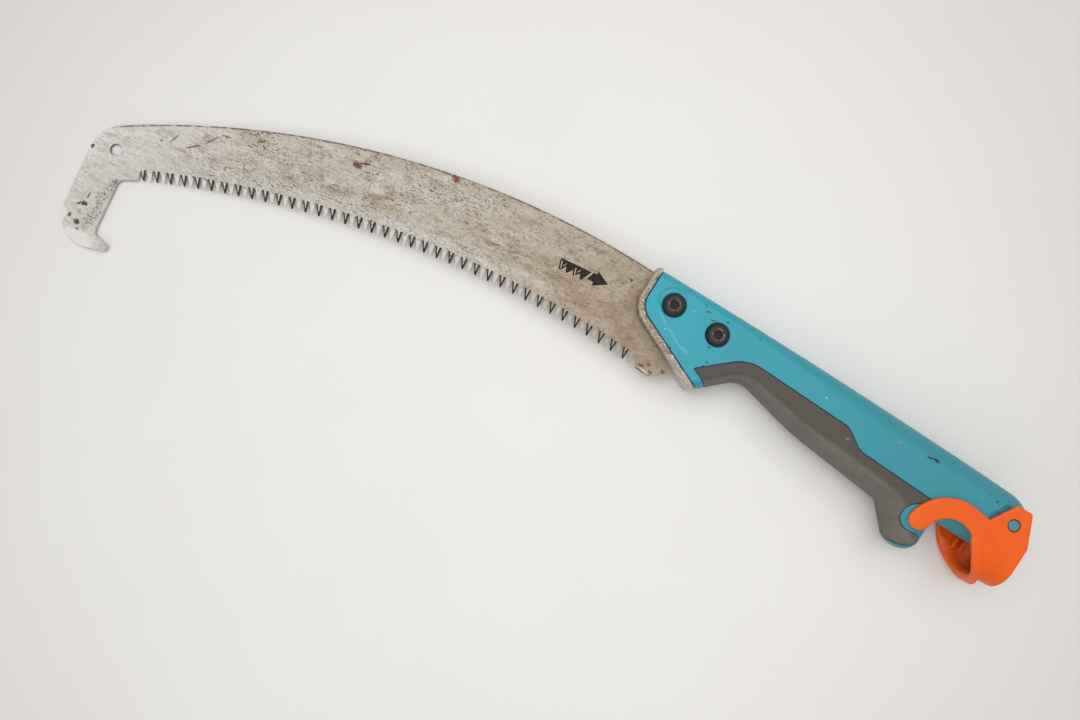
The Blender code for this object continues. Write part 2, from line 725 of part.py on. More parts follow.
def make_bolt(name, place):
    """Button-head bolt with a hex socket; its head is on the left."""
    seat = FRONT_HALF - HEAD_RECESS + SEAT_GAP
    head = BOLT_HEAD_DIAMETER / 2
    crown = BOLT_CROWN_DIAMETER / 2
    bulge = BOLT_HEAD_HEIGHT - BOLT_RIM_HEIGHT
    end = -FRONT_HALF + NUT_RECESS - SEAT_GAP - NUT_HEIGHT
    angles = [math.pi / 2 * (1 - i / DOME_STEPS) for i in range(DOME_STEPS + 1)]
    dome = [(crown + (head - crown) * math.cos(a), seat + BOLT_RIM_HEIGHT + bulge * math.sin(a))
            for a in angles]
    profile = [(0, seat + BOLT_HEAD_HEIGHT), *dome, (head, seat), (BOLT_DIAMETER / 2, seat),
               (BOLT_DIAMETER / 2, end), (0, end)]
    bolt = turned(name, profile, place)
    top = seat + BOLT_HEAD_HEIGHT
    boolean(bolt, prism("hex", hexagon(place, BOLT_SOCKET), top - BOLT_SOCKET_DEPTH, top + OVERCUT))
    return bolt


def make_nut(name, place):
    """Hex nut let into the right shell."""
    seat = -FRONT_HALF + NUT_RECESS - SEAT_GAP
    nut = prism(name, hexagon(place, NUT_ACROSS_FLATS), seat - NUT_HEIGHT, seat)
    bore(nut, place, BOLT_DIAMETER + 2 * BOLT_CLEARANCE, -OVERCUT, OVERCUT)
    return nut


def make_screw(name, place):
    """Pan-head screw from the right shell into the left one."""
    seat = SCREW_RECESS - half_width(place[0]) - SEAT_GAP
    head = SCREW_HEAD_DIAMETER / 2
    shank = SCREW_DIAMETER / 2
    profile = [(0, seat - SCREW_HEAD_HEIGHT), (SCREW_CROWN_DIAMETER / 2, seat - SCREW_HEAD_HEIGHT),
               (head, seat - SCREW_RIM_HEIGHT), (head, seat), (shank, seat),
               (shank, seat + SCREW_LENGTH - shank), (0, seat + SCREW_LENGTH)]
    return turned(name, profile, place, ROUND_SIDES // 2)


def trough(name, half, bottom, corner, low, high):
    """Solid along X with a flat top above the lever, upright sides and a bottom with rounded corners."""
    top = LEVER_TOP + OVERCUT
    section = rounded(((half, top, 0), (half, bottom, corner), (-half, bottom, corner), (-half, top, 0)))
    return prism(name, section, low, high, across="X")


def mouth_line(start, behind):
    """Corners of the scoop's mouth in side view, from a way below its top, moved back into the scoop."""
    top = Vector(MOUTH_TOP)
    bend = Vector(MOUTH_BEND)
    upper = (bend - top).normalized()
    lower = Vector((math.cos(MOUTH_FOOT_ANGLE), -math.sin(MOUTH_FOOT_ANGLE)))
    first = top + upper * start + Vector((-upper.y, upper.x)) * behind
    second = bend + Vector((-lower.y, lower.x)) * behind
    corner = meeting_point(first, upper, second, lower)
    foot = meeting_point(second, lower, Vector((0, LEVER_BOTTOM - LIP_FLARE - LEVER_WALL)), Vector((1, 0)))
    return [(*first, 0), (*corner, MOUTH_BEND_RADIUS - behind), (*foot, 0)]


def mouth_strip(front, back):
    """Outline of a strip along the scoop's mouth in side view; its straight back nears the mouth's foot."""
    ahead = rounded(mouth_line(LIP_START, front), closed=False)
    top = Vector(mouth_line(LIP_START, back)[0][:2])
    along = Vector((math.cos(LIP_BACK_ANGLE), -math.sin(LIP_BACK_ANGLE)))
    foot = meeting_point(top, along, ahead[-1], Vector((1, 0)))
    return ahead + [foot, top]


def lever_outline():
    """The lever from the side: arms, finger hole, notch, cheek and the scoop's sloping mouth."""
    middle = (ARM_OUTER + ARM_INNER) / 2
    tip = arm_tip()
    inner = arc(ARM_CENTRE, ARM_INNER, MOUTH_START_ANGLE, ARM_END_ANGLE)
    around = arc(tip, ARM_OUTER - middle, ARM_END_ANGLE + math.pi, ARM_END_ANGLE)
    outer = arc(ARM_CENTRE, ARM_OUTER, ARM_END_ANGLE, math.pi / 2)
    mouth = mouth_line(0, 0)
    cheek = rounded((
        (*outer[-1], 0),
        (*LEVER_NOTCH, LEVER_NOTCH_FILLET),
        (LEVER_TOP_SPAN[0], LEVER_TOP, LEVER_TOP_FILLETS[0]),
        (LEVER_TOP_SPAN[1], LEVER_TOP, LEVER_TOP_FILLETS[1]),
        (LEVER_REAR_X, LEVER_SHOULDER_Y, LEVER_SHOULDER_FILLET),
        (LEVER_REAR_X, mouth[-1][1], 0),
        *reversed(mouth),
    ), closed=False)
    return inner[1:] + around[1:] + outer[1:] + cheek[1:]


def make_lip():
    """Flared lip round the scoop's mouth."""
    low_x = MOUTH_TOP[0] - OVERCUT
    high_x = LEVER_REAR_X + OVERCUT
    inset = LEVER_WALL / 2
    lip = trough("lip", LEVER_HALF - SEAT_GAP, LEVER_BOTTOM - LIP_FLARE, LIP_CORNER, low_x, high_x)
    boolean(lip, trough("lip_inside", LEVER_HALF - inset, LEVER_BOTTOM + inset, LEVER_CORNER - inset,
                        low_x - OVERCUT, high_x + OVERCUT))
    boolean(lip, prism("strip", mouth_strip(-LIP_FRONT, LIP_WIDTH), -OVERCUT, OVERCUT), "INTERSECT")
    boolean(lip, make_funnel())
    return lip


def make_funnel():
    """The space inside the flared lip, wider than the scoop behind it."""
    funnel = trough("funnel", LEVER_HALF - LIP_SIDE_WALL, LEVER_BOTTOM - LIP_FLARE + LIP_WALL,
                    LIP_CORNER - LIP_WALL, MOUTH_TOP[0] - OVERCUT, LEVER_REAR_X + OVERCUT)
    strip = mouth_strip(-LEVER_WALL, FUNNEL_DEPTH)
    boolean(funnel, prism("funnel_strip", strip, -OVERCUT, OVERCUT), "INTERSECT")
    return funnel


def make_ribs(lever):
    """Short ribs inside the scoop, two on each cheek."""
    outer = LEVER_HALF - LEVER_WALL / 2
    inner = LEVER_HALF - LEVER_WALL - RIB_REACH
    for x in RIB_PLACES:
        rib = rectangle(x, x + RIB_WIDTH, RIB_BOTTOM, RIB_TOP)
        boolean(lever, prism("left_rib", rib, inner, outer), "UNION")
        boolean(lever, prism("right_rib", rib, -outer, -inner), "UNION")


def make_lever():
    """Lever with straight-walled arms and cheeks; its round-cornered scoop is closed at the rear."""
    inner_half = LEVER_HALF - LEVER_WALL
    high = LEVER_TOP + OVERCUT
    low = LEVER_BOTTOM - OVERCUT
    low_x = ARM_CENTRE[0] - ARM_OUTER - OVERCUT
    scoop_end = LEVER_REAR_X - LEVER_WALL
    far = LEVER_REAR_X + OVERCUT
    lever = prism("locking_lever", lever_outline(), -LEVER_HALF, LEVER_HALF)
    corners = prism("corners", rectangle(MOUTH_TOP[0], far, low, LEVER_BOTTOM + LEVER_CORNER),
                    -OVERCUT, OVERCUT)
    boolean(corners, trough("outside", LEVER_HALF, LEVER_BOTTOM, LEVER_CORNER, low_x, far + OVERCUT))
    boolean(lever, corners)
    boolean(lever, trough("scoop", inner_half, LEVER_BOTTOM + LEVER_WALL, LEVER_CORNER - LEVER_WALL,
                          low_x, scoop_end))
    between_arms = rectangle(low_x, MOUTH_TOP[0], low, high)
    boolean(lever, prism("between_arms", between_arms, -inner_half, inner_half))
    pole_way = rectangle(MOUTH_TOP[0], far, REAR_WALL_TOP, high)
    boolean(lever, prism("pole_way", pole_way, -inner_half, inner_half))
    boolean(lever, make_funnel())
    boolean(lever, make_lip(), "UNION")
    make_ribs(lever)
    bore(lever, (0, 0), PIVOT_DIAMETER + 2 * PIVOT_CLEARANCE, -OVERCUT, OVERCUT)
    merge_flat_faces(lever)
    return lever


def make_material(name, colour, roughness, metallic):
    material = bpy.data.materials.new(name)
    material.use_nodes = True
    shader = material.node_tree.nodes["Principled BSDF"]
    shader.inputs["Base Color"].default_value = (*colour, 1)
    shader.inputs["Roughness"].default_value = roughness
    shader.inputs["Metallic"].default_value = metallic
    return material


def finish(item, material, parent):
    item.data.materials.clear()
    item.data.materials.append(material)
    item.data.shade_smooth()
    item.data.set_sharp_from_angle(angle=SMOOTH_ANGLE)
    item.parent = parent


def make_empty(name, parent=None):
    empty = bpy.data.objects.new(name, None)
    bpy.context.collection.objects.link(empty)
    empty.parent = parent
    return empty


def place_root(root, items):
    """Lay the saw on its right side, over the middle of its own outline."""
    points = [v.co for item in items for v in item.data.vertices]
    low = [min(p[i] for p in points) for i in range(3)]
    high = [max(p[i] for p in points) for i in range(3)]
    root.location = (-(low[0] + high[0]) / 2, -(low[1] + high[1]) / 2, -low[2])


def build():
    clear_scene()
    steel = make_material("stained_steel", (0.50, 0.45, 0.38), 0.45, 0.7)
    cast = make_material("worn_casting", (0.36, 0.33, 0.28), 0.5, 0.7)
    teal = make_material("teal_plastic", (0.065, 0.36, 0.43), 0.45, 0)
    rubber = make_material("grey_rubber", (0.13, 0.12, 0.11), 0.75, 0)
    black = make_material("black_steel", (0.045, 0.04, 0.037), 0.45, 0.6)
    zinc = make_material("zinc_steel", (0.55, 0.55, 0.53), 0.4, 0.9)
    orange = make_material("orange_plastic", (0.87, 0.13, 0.025), 0.35, 0)
    root = make_empty("saw")
    pivot = make_empty("lever_pivot", root)
    outline = handle_outline()
    pieces = [(make_blade(), steel, root), (make_bolster(), cast, root)]
    pieces += [(shell, teal, root) for shell in make_shells(outline)]
    pieces += [(grip, rubber, root) for grip in make_grips(outline)]
    for name, place in zip(("front", "rear"), BOLT_PLACES):
        pieces.append((make_bolt(name + "_blade_bolt", place), black, root))
        pieces.append((make_nut(name + "_blade_nut", place), zinc, root))
    for number, place in enumerate(SCREW_PLACES, 1):
        pieces.append((make_screw("shell_screw_%d" % number, place), zinc, root))
    pieces.append((make_lever(), orange, pivot))
    for item, material, parent in pieces:
        finish(item, material, parent)
    place_root(root, [piece[0] for piece in pieces])


build()
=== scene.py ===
"""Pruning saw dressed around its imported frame, laid on a pale table and seen as in the photograph.

Shapes are drawn in millimetres in the saw's side view: X to the handle's rear, Y to the saw's back and Z
to the left side, which is up, with zero on the lever's pivot. Rounded pieces are distance fields, negative
inside, that are turned into meshes. A value named BLEND is the width over which an edge is rounded.
"""
import json
import math

import bpy
import numpy as np
from mathutils import Matrix, Vector, geometry


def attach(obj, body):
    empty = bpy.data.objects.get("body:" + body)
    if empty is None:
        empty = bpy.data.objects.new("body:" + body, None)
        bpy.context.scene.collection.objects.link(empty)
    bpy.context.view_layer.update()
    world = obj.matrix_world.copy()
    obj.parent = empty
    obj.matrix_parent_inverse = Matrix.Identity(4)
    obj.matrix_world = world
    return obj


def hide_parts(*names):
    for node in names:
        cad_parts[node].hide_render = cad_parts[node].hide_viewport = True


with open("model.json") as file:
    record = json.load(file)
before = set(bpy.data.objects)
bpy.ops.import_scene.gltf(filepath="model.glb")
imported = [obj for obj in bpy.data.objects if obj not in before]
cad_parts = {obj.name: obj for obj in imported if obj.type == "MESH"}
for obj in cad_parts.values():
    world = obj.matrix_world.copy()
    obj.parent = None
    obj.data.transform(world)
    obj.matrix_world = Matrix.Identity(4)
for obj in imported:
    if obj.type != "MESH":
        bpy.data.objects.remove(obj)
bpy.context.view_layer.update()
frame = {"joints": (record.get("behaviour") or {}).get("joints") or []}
PIVOT = np.array(frame["joints"][0]["pos_m"])
MM = 0.001

# Fits
SEAM = 0.15
GRIP_GAP = 0.25
FIT_GAP = 0.3

# Blade
BLADE_HALF = 0.75
ARC_X = -241.0
BACK_TOP = 15.8
BACK_RADIUS = 532.0
BACK_STEPS = 60
TOOTH_RADIUS = 625.0
HEEL_WIDTH = 51.1
TOOTHED_LENGTH = 307.0
TOOTH_COUNT = 76
TOOTH_DEPTH = 6.4
TOOTH_LEAN = 0.86
TOOTH_BEVEL = 1.0
TOOTH_LIFT = 2.4
TIP_WIDTHS = (0.9, 0.36)
GULLET_FLAT = 0.3
TEETH_END_X = -218.4
EDGE_BREAK = 0.12
GROUND_DEPTH = 0.65
HEEL = ((-205.4, -36.3), (-214.5, -36.0), (-217.0, -28.9))
HANG_HOLE = (-536.2, -90.8)
HANG_HOLE_RADIUS = 3.5
TANG_END_X = -174.0
TANG_TOP = 12.0
TANG_BOTTOM = -9.9
TANG_SHOULDER = 6.0
TANG_CORNER = 3.0
HOOK = (
    (-525.5, -104.6, 6.0),
    (-521.2, -138.5, 3.5),
    (-509.5, -140.8, 0.6),
    (-510.2, -144.3, 1.0),
    (-542.6, -156.1, 19.5),
    (-552.2, -84.8, 21.0),
)

# Handle in side view
FRONT_X = -230.0
FRONT_CORNER_Y = -6.0
FRONT_SLOPE = math.radians(24.3)
FRONT_FILLET = 11.5
FRONT_RUN_ON = 18.0
GUARD_REACH = 54.5
FRONT_TOP = 18.7
TUBE_TOP = 16.8
TUBE_BOTTOM = -18.8
TUBE_END_X = 14.5
TUBE_END_RADIUS = 17.0
TOP_CROWN = 1.5
TOP_STEPS = 12
PALM = (
    (-160.5, -10.6, 14.0),
    (-120.0, -20.2, 120.0),
    (-59.9, -26.5, 4.0),
    (-44.8, -43.0, 10.0),
    (-31.1, -43.0, 9.0),
    (-31.1, -18.8, 4.0),
)

# Handle across
FRONT_HALF = 14.0
REAR_HALF = 18.0
TAPER_X = (-185.0, -75.0)
FRONT_EDGE = 6.0
REAR_EDGE = 13.0
SEAT_BLEND = 0.4
FRONT_BLEND = 0.7
HOLE_BLEND = 0.5
SEAM_BLEND = 0.5

# Grip
GRIP_THICKNESS = 2.5
GRIP_STRIP = 5.0
GRIP_BLEND = 0.7
GRIP_SEAM_BLEND = 0.4
GRIP_CORNER_X = -187.7
GRIP_TOP = (
    (-165.0, 0.6, 22.0),
    (-100.0, -1.8, 10.0),
    (-88.5, -9.6, 10.0),
    (-42.0, -11.3, 0.0),
)
GRIP_TAIL = (-44.5, -31.0)
GRIP_TAIL_RADIUS = 10.4
GRIP_TAIL_ANGLE = math.radians(-14)
GRIP_LAND_END = math.radians(300)
LAND_MARGIN = 2.2

# Pole socket
SOCKET_RADIUS = 13.0
SOCKET_DEPTH = 60.0
SOCKET_BLEND = 1.2
TUBE_Y = (TUBE_TOP + TUBE_BOTTOM) / 2

# Bolster
BOLSTER_WIDTH = 4.2
BOLSTER_EDGE_HALF = 9.5
BOLSTER_END_RADIUS = 3.0
TONGUE_HALF = 4.0
TONGUE_MARGIN = 3.0
BEAD_BLEND = 1.2
BEAD_SLOPE = 0.7
TONGUE_BLEND = 0.4
SLOT_BLEND = 0.3
WEAR_DEPTH = 0.10

# Fasteners
BOLTS = ((-215.2, 4.0), (-186.4, 2.8))
BOLT_RADIUS = 4.0
BOLT_HEAD = 6.45
BOLT_HEIGHT = 4.4
BOLT_RIM = 1.3
BOLT_CROWN = 4.0
BOLT_SOCKET = 5.0
BOLT_SOCKET_DEPTH = 2.8
BOLT_END_CHAMFER = 0.6
BOLT_RIM_CHAMFER = 0.3
BOLT_DOME_POINTS = 9
KEY_BLEND = 0.25
KEY_CHAMFER = 0.35
KEY_CHAMFER_BLEND = 0.2
HEAD_RECESS = 2.0
NUT_FLATS = 13.0
NUT_HEIGHT = 6.5
NUT_RECESS = 7.2
NUT_EDGE_BLEND = 0.4
NUT_CHAMFER = 0.4
NUT_CHAMFER_SLOPE = (0.5, 0.87)
NUT_CHAMFER_BLEND = 0.3
SCREWS = ((-158.0, 11.0), (-116.0, 10.0), (-72.0, 9.0))
SCREW_RADIUS = 1.75
SCREW_HEAD = 3.5
SCREW_HEAD_HEIGHT = 2.6
SCREW_LENGTH = 18.0
SCREW_RECESS = 7.5
SCREW_CROWN = ((2.2, 0.0), (3.0, 0.5), (SCREW_HEAD, 1.6))
SCREW_PAST_AXIS = 1.0
CROSS_HALF = 0.45
CROSS_REACH = 2.0
CROSS_DEPTH = 1.3
CROSS_SLOPE = 0.5
CROSS_BLEND = 0.2

# Lever
LEVER_HALF = 21.0
LEVER_WALL = 2.6
LEVER_BOTTOM = -33.8
LEVER_CORNER = 13.0
SCOOP_CORNER = 14.5
LEVER_REAR_X = 12.8
CHEEK = (
    (-12.3, -4.0, 0.5),
    (-3.5, 10.6, 1.5),
    (5.5, 10.6, 2.0),
    (12.8, -7.0, 3.0),
)
MOUTH_START = math.radians(57.5)
MOUTH_BEND = (-7.5, -29.0)
MOUTH_BEND_RADIUS = 40.0
MOUTH_FOOT = math.radians(41)
ARM_CENTRE = (-24.0, -28.0)
ARM_OUTER = 25.6
ARM_INNER = 14.2
ARM_END = math.radians(169)
LIP_START = 3.0
LIP_FLARE = 5.0
LIP_CORNER = 16.0
LIP_WIDTH = 5.0
LIP_BACK = math.radians(54.5)
LIP_FRONT = 0.2
LIP_WALL = 2.4
LIP_SIDE_WALL = 1.8
LIP_SETBACK = 0.2
LIP_INSIDE_CORNER = SCOOP_CORNER + 1
LIP_BLEND = 2.4
LIP_JOIN_BLEND = 1.6
FLARE_DEPTH = 7.0
FLARE_AHEAD = (-3.0, -1.5)
FLARE_BELOW = (3.0, 8.0)
REAR_WALL_TOP = -21.2
CUP_AHEAD = 4.0
CUP_BEHIND = 1.0
PLATE_BLEND = 1.4
SCOOP_BLEND = 1.5
RIM_BLEND = 1.8
RIB_X = (-4.8, -0.2)
RIB_WIDTH = 2.0
RIB_SPAN = (-24.8, -18.4)
RIB_REACH = 5.0
RIB_BLEND = 0.5
PIVOT_RADIUS = 3.0
PIVOT_HOLE = 3.5
PIVOT_SETBACK = 0.2
PIVOT_BLEND = 0.5
PIN_BLEND = 0.6
PIN_ROOT = SOCKET_RADIUS + 2

ARC_STEP = math.radians(5)
FAR = 60.0
MOUTH_TOP = (ARM_CENTRE[0] + ARM_INNER * math.cos(MOUTH_START),
             ARM_CENTRE[1] + ARM_INNER * math.sin(MOUTH_START))
LEVER_FOOT = LEVER_BOTTOM - LIP_FLARE - LEVER_WALL
BACK_CENTRE = (ARC_X, BACK_TOP - BACK_RADIUS)
TOOTH_CENTRE = (ARC_X, BACK_TOP - HEEL_WIDTH - TOOTH_RADIUS)
TOOTH_FIRST = math.acos((TEETH_END_X - ARC_X) / TOOTH_RADIUS)
TOOTH_PITCH = TOOTHED_LENGTH / TOOTH_COUNT / TOOTH_RADIUS


def arc(centre, radius, start, end):
    steps = max(2, math.ceil(abs(end - start) / ARC_STEP))
    angles = np.linspace(start, end, steps + 1)
    return [(centre[0] + radius * math.cos(a), centre[1] + radius * math.sin(a)) for a in angles]


def rounded(corners, closed=True):
    """Points of an outline given as (x, y, radius) corners, with an arc at each corner with a radius."""
    points = []
    last = len(corners) - 1
    for i, (x, y, radius) in enumerate(corners):
        here = Vector((x, y))
        if radius == 0 or (not closed and i in (0, last)):
            points.append((x, y))
            continue
        before = (Vector(corners[i - 1][:2]) - here).normalized()
        after = (Vector(corners[(i + 1) % (last + 1)][:2]) - here).normalized()
        half = before.angle(after) / 2
        centre = here + (before + after).normalized() * (radius / math.sin(half))
        start = here + before * (radius / math.tan(half)) - centre
        turn = math.copysign(math.pi - 2 * half, -before.cross(after))
        first = math.atan2(start.y, start.x)
        points += arc(centre, radius, first, first + turn)
    return points


def polygon(points):
    """Field of a closed outline in a plane: distance to it, negative inside."""
    ends = points[1:] + points[:1]

    def field(u, v):
        u, v = np.broadcast_arrays(u, v)
        best = np.full(u.shape, np.inf)
        inside = np.zeros(u.shape, bool)
        for (ax, ay), (bx, by) in zip(points, ends):
            dx, dy = bx - ax, by - ay
            pu, pv = u - ax, v - ay
            share = np.clip((pu * dx + pv * dy) / (dx * dx + dy * dy), 0, 1)
            best = np.minimum(best, (pu - dx * share) ** 2 + (pv - dy * share) ** 2)
            if ay != by:
                inside ^= ((ay > v) != (by > v)) & (pu < dx * pv / dy)
        return np.where(inside, -1, 1) * np.sqrt(best)
    return field


def both(a, b, blend=0.0):
    """Field of what two fields share, its edge rounded over a blend width."""
    if blend == 0:
        return np.maximum(a, b)
    overlap = np.maximum(blend - np.abs(a - b), 0) / blend
    return np.maximum(a, b) + overlap * overlap * blend / 4


def either(a, b, blend=0.0):
    return -both(-a, -b, blend)


def ease(value, low, high):
    """Zero below low, one above high, and smooth between."""
    share = np.clip((value - low) / (high - low), 0, 1)
    return share * share * (3 - 2 * share)


def surface(field, low, high, cell):
    """Vertices, faces and normals of a field's zero surface, one vertex for each cell that it crosses."""
    axes = [np.arange(l - 2 * cell, h + 3 * cell, cell) for l, h in zip(low, high)]
    values = field(axes[0][:, None, None], axes[1][None, :, None], axes[2][None, None, :])
    inside = values < 0
    shape = np.array(inside.shape) - 1
    corners = np.array([(i, j, k) for i in (0, 1) for j in (0, 1) for k in (0, 1)])
    count = sum(inside[i:i + shape[0], j:j + shape[1], k:k + shape[2]].astype(np.int8)
                for i, j, k in corners)
    cells = np.argwhere((count > 0) & (count < 8))
    at = [values[tuple((cells + c).T)] for c in corners]
    total = np.zeros(cells.shape)
    number = np.zeros(len(cells))
    for a in range(8):
        for b in range(a + 1, 8):
            if np.abs(corners[a] - corners[b]).sum() == 1:
                cut = (at[a] < 0) != (at[b] < 0)
                share = np.where(cut, at[a] / np.where(cut, at[a] - at[b], 1), 0)
                total += cut[:, None] * (corners[a] + share[:, None] * (corners[b] - corners[a]))
                number += cut
    origin = np.array([a[0] for a in axes])
    verts = origin + cell * (cells + total / number[:, None])
    index = np.full(shape, -1)
    index[tuple(cells.T)] = np.arange(len(cells))
    faces = []
    for axis in range(3):
        step = np.eye(3, dtype=int)
        u, v = step[(axis + 1) % 3], step[(axis + 2) % 3]
        ahead = np.roll(inside, -1, axis)
        change = inside != ahead
        change[tuple(slice(-1, None) if d == axis else slice(None) for d in range(3))] = False
        edges = np.argwhere(change)
        ring = np.stack([index[tuple((edges + o).T)] for o in (-u - v, -v, 0 * u, -u)], 1)
        leaving = inside[tuple(edges.T)]
        faces.append(np.where(leaving[:, None], ring, ring[:, ::-1]))
    faces = np.concatenate(faces)
    # Settle the vertices on the surface
    for _ in range(2):
        normals, value, slope = gradient(field, verts, cell / 8)
        verts = verts - normals * np.clip(value / slope, -cell / 2, cell / 2)[:, None]
    return verts, faces, gradient(field, verts, cell / 4)[0]


def gradient(field, verts, step):
    x, y, z = verts.T
    value = field(x, y, z)
    slopes = np.stack([field(x + step, y, z), field(x, y + step, z), field(x, y, z + step)], 1)
    slopes = (slopes - value[:, None]) / step
    length = np.maximum(np.linalg.norm(slopes, axis=1), 1e-6)
    return slopes / length[:, None], value, length


def add(name, data):
    item = bpy.data.objects.new(name, data)
    bpy.context.scene.collection.objects.link(item)
    return item


def make_object(name, verts, faces):
    mesh = bpy.data.meshes.new(name)
    mesh.from_pydata((PIVOT + np.asarray(verts) * MM).tolist(), [], [list(f) for f in faces])
    mesh.validate()
    return add(name, mesh)


def field_object(name, field, low, high, cell):
    verts, faces, normals = surface(field, low, high, cell)
    item = make_object(name, verts, faces.tolist())
    item.data.shade_smooth()
    item.data.normals_split_custom_set_from_vertices(normals.tolist())
    return item


def dress(item, material, body, node):
    item.data.materials.append(material)
    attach(item, body)
    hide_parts(node)


def front_line(ahead):
    """The handle's front edge, moved ahead of it: upright at the top, then sloping back to the guard."""
    x = FRONT_X - ahead
    y = FRONT_CORNER_Y - ahead * (1 - math.sin(FRONT_SLOPE)) / math.cos(FRONT_SLOPE)
    far = GUARD_REACH + FAR
    return rounded(((x, FRONT_TOP + FAR, 0), (x, y, FRONT_FILLET + ahead),
                    (x + far, y - far * math.tan(FRONT_SLOPE), 0)), closed=False)


def guard_tip():
    return (FRONT_X + GUARD_REACH * math.cos(FRONT_SLOPE),
            FRONT_CORNER_Y - GUARD_REACH * math.sin(FRONT_SLOPE))


def top_line(x):
    share = x / FRONT_X
    return TUBE_TOP + (FRONT_TOP - TUBE_TOP) * share + TOP_CROWN * 4 * share * (1 - share)


def handle_outline():
    """The handle from the side, carried on ahead of the front line, which cuts it."""
    tip = guard_tip()
    run = FRONT_RUN_ON * math.sqrt(0.5)
    ahead = FRONT_X - FRONT_RUN_ON
    below = rounded((
        (ahead, tip[1] - run + FRONT_RUN_ON, 0),
        (tip[0] - run, tip[1] - run, 0),
        *PALM,
        (TUBE_END_X, TUBE_BOTTOM, TUBE_END_RADIUS),
        (TUBE_END_X, TUBE_TOP, TUBE_END_RADIUS),
        (TUBE_END_X - 2 * TUBE_END_RADIUS, TUBE_TOP, 0),
    ))[:-1]
    back = [(x, top_line(x)) for x in np.linspace(FRONT_X / TOP_STEPS, FRONT_X, TOP_STEPS)]
    return below + back + [(ahead, back[-1][1])]


def arm_tip():
    middle = (ARM_OUTER + ARM_INNER) / 2
    return (ARM_CENTRE[0] + middle * math.cos(ARM_END), ARM_CENTRE[1] + middle * math.sin(ARM_END))


def grip_region():
    """The soft grip's area in side view, carried on below the handle."""
    (ax, ay), (bx, by) = front_line(-GRIP_STRIP)[-2:]
    slope = (by - ay) / (bx - ax)
    corner = (GRIP_CORNER_X, ay + (GRIP_CORNER_X - ax) * slope)
    foot = (GRIP_CORNER_X + FAR, corner[1] + FAR * slope)
    tip = arm_tip()
    land = (ARM_OUTER - ARM_INNER) / 2 + LAND_MARGIN
    border = rounded(((*foot, 0), (*corner, 0), *GRIP_TOP), closed=False)
    top = math.atan2(border[-1][1] - tip[1], border[-1][0] - tip[0])
    around = arc(tip, land, top, GRIP_LAND_END)
    rear = arc(GRIP_TAIL, GRIP_TAIL_RADIUS, GRIP_TAIL_ANGLE, -math.pi / 2)
    low = foot[1] - FAR
    return border + around + rear + [(GRIP_TAIL[0], low), (foot[0], low)]


def meeting_point(a, along_a, b, along_b):
    a, along_a, b, along_b = Vector(a), Vector(along_a), Vector(b), Vector(along_b)
    return a + along_a * ((b - a).cross(along_b) / along_a.cross(along_b))


def heel_edge(margin):
    """The blade's edge from the heel's corner to the tang's end, as a point and a direction."""
    along = Vector((TANG_END_X - HEEL[0][0], TANG_BOTTOM - HEEL[0][1])).normalized()
    return Vector(HEEL[0]) + Vector((along.y, -along.x)) * margin, along


def tang_corners(margin):
    end_x = TANG_END_X + margin
    low = meeting_point(*heel_edge(margin), (end_x, 0), (0, 1))
    return (low.x, low.y, TANG_CORNER + margin), (end_x, TANG_TOP + margin, TANG_CORNER + margin)


def tang_shoulder(margin):
    x = FRONT_X - BOLSTER_WIDTH / 2
    return (x + TANG_SHOULDER, TANG_TOP + margin, 0), (x, BACK_TOP + margin, 0)


def tongue_outline(margin):
    """The bolster's inner tongue in side view, from inside the bolster's bead to behind the tang."""
    line = front_line(BOLSTER_WIDTH / 2)
    slope = Vector(line[-1]) - Vector(line[-2])
    low = meeting_point(*heel_edge(margin), line[-1], slope)
    upper = [(line[0][0], TANG_TOP + margin, 0)] + [(*p, 0) for p in line[1:-1]]
    return rounded((*upper, (low.x, low.y, 0), *tang_corners(margin)))


HANDLE = polygon(handle_outline())
GRIP = polygon(grip_region())
FRONT = front_line(0)
AHEAD = polygon(FRONT + [(FRONT_X - 2 * FAR, FRONT[-1][1]), (FRONT_X - 2 * FAR, FRONT[0][1])])
TONGUE = polygon(tongue_outline(TONGUE_MARGIN))
PANEL = polygon(rounded((
    (-170.0, 14.0, 0),
    (-225.2, 13.0, 9.0),
    (-224.9, 2.6, 6.0),
    (-211.0, -8.6, 20.0),
    (-190.0, -17.2, 0),
    (-170.0, -18.0, 0),
)))
PANEL_DEPTH = 0.5
PANEL_EDGE = 0.5
PANEL_FADE = (-212.0, -199.0)


def half_width(x):
    return FRONT_HALF + (REAR_HALF - FRONT_HALF) * ease(x, *TAPER_X)


def handle_field(x, y, z):
    """The whole handle: flat sides that round off towards the side view's outline."""
    half = half_width(x)
    edge = FRONT_EDGE + (REAR_EDGE - FRONT_EDGE) * ease(x, *TAPER_X)
    across = np.abs(z) / half
    rise = np.maximum(0, 1 + HANDLE(x, y) / edge)
    reach = np.sqrt(rise ** 2 + across ** 2)
    scale = (rise ** 2 * edge + across ** 2 * half) / np.maximum(reach ** 2, 1e-9)
    return (reach - 1) * scale


def cylinder(x, y, place, radius):
    return np.hypot(x - place[0], y - place[1]) - radius


def hexagon(place, flats):
    reach = flats / math.sqrt(3)
    angles = [math.pi / 3 * i for i in range(6)]
    return polygon([(place[0] + reach * math.cos(a), place[1] + reach * math.sin(a)) for a in angles])


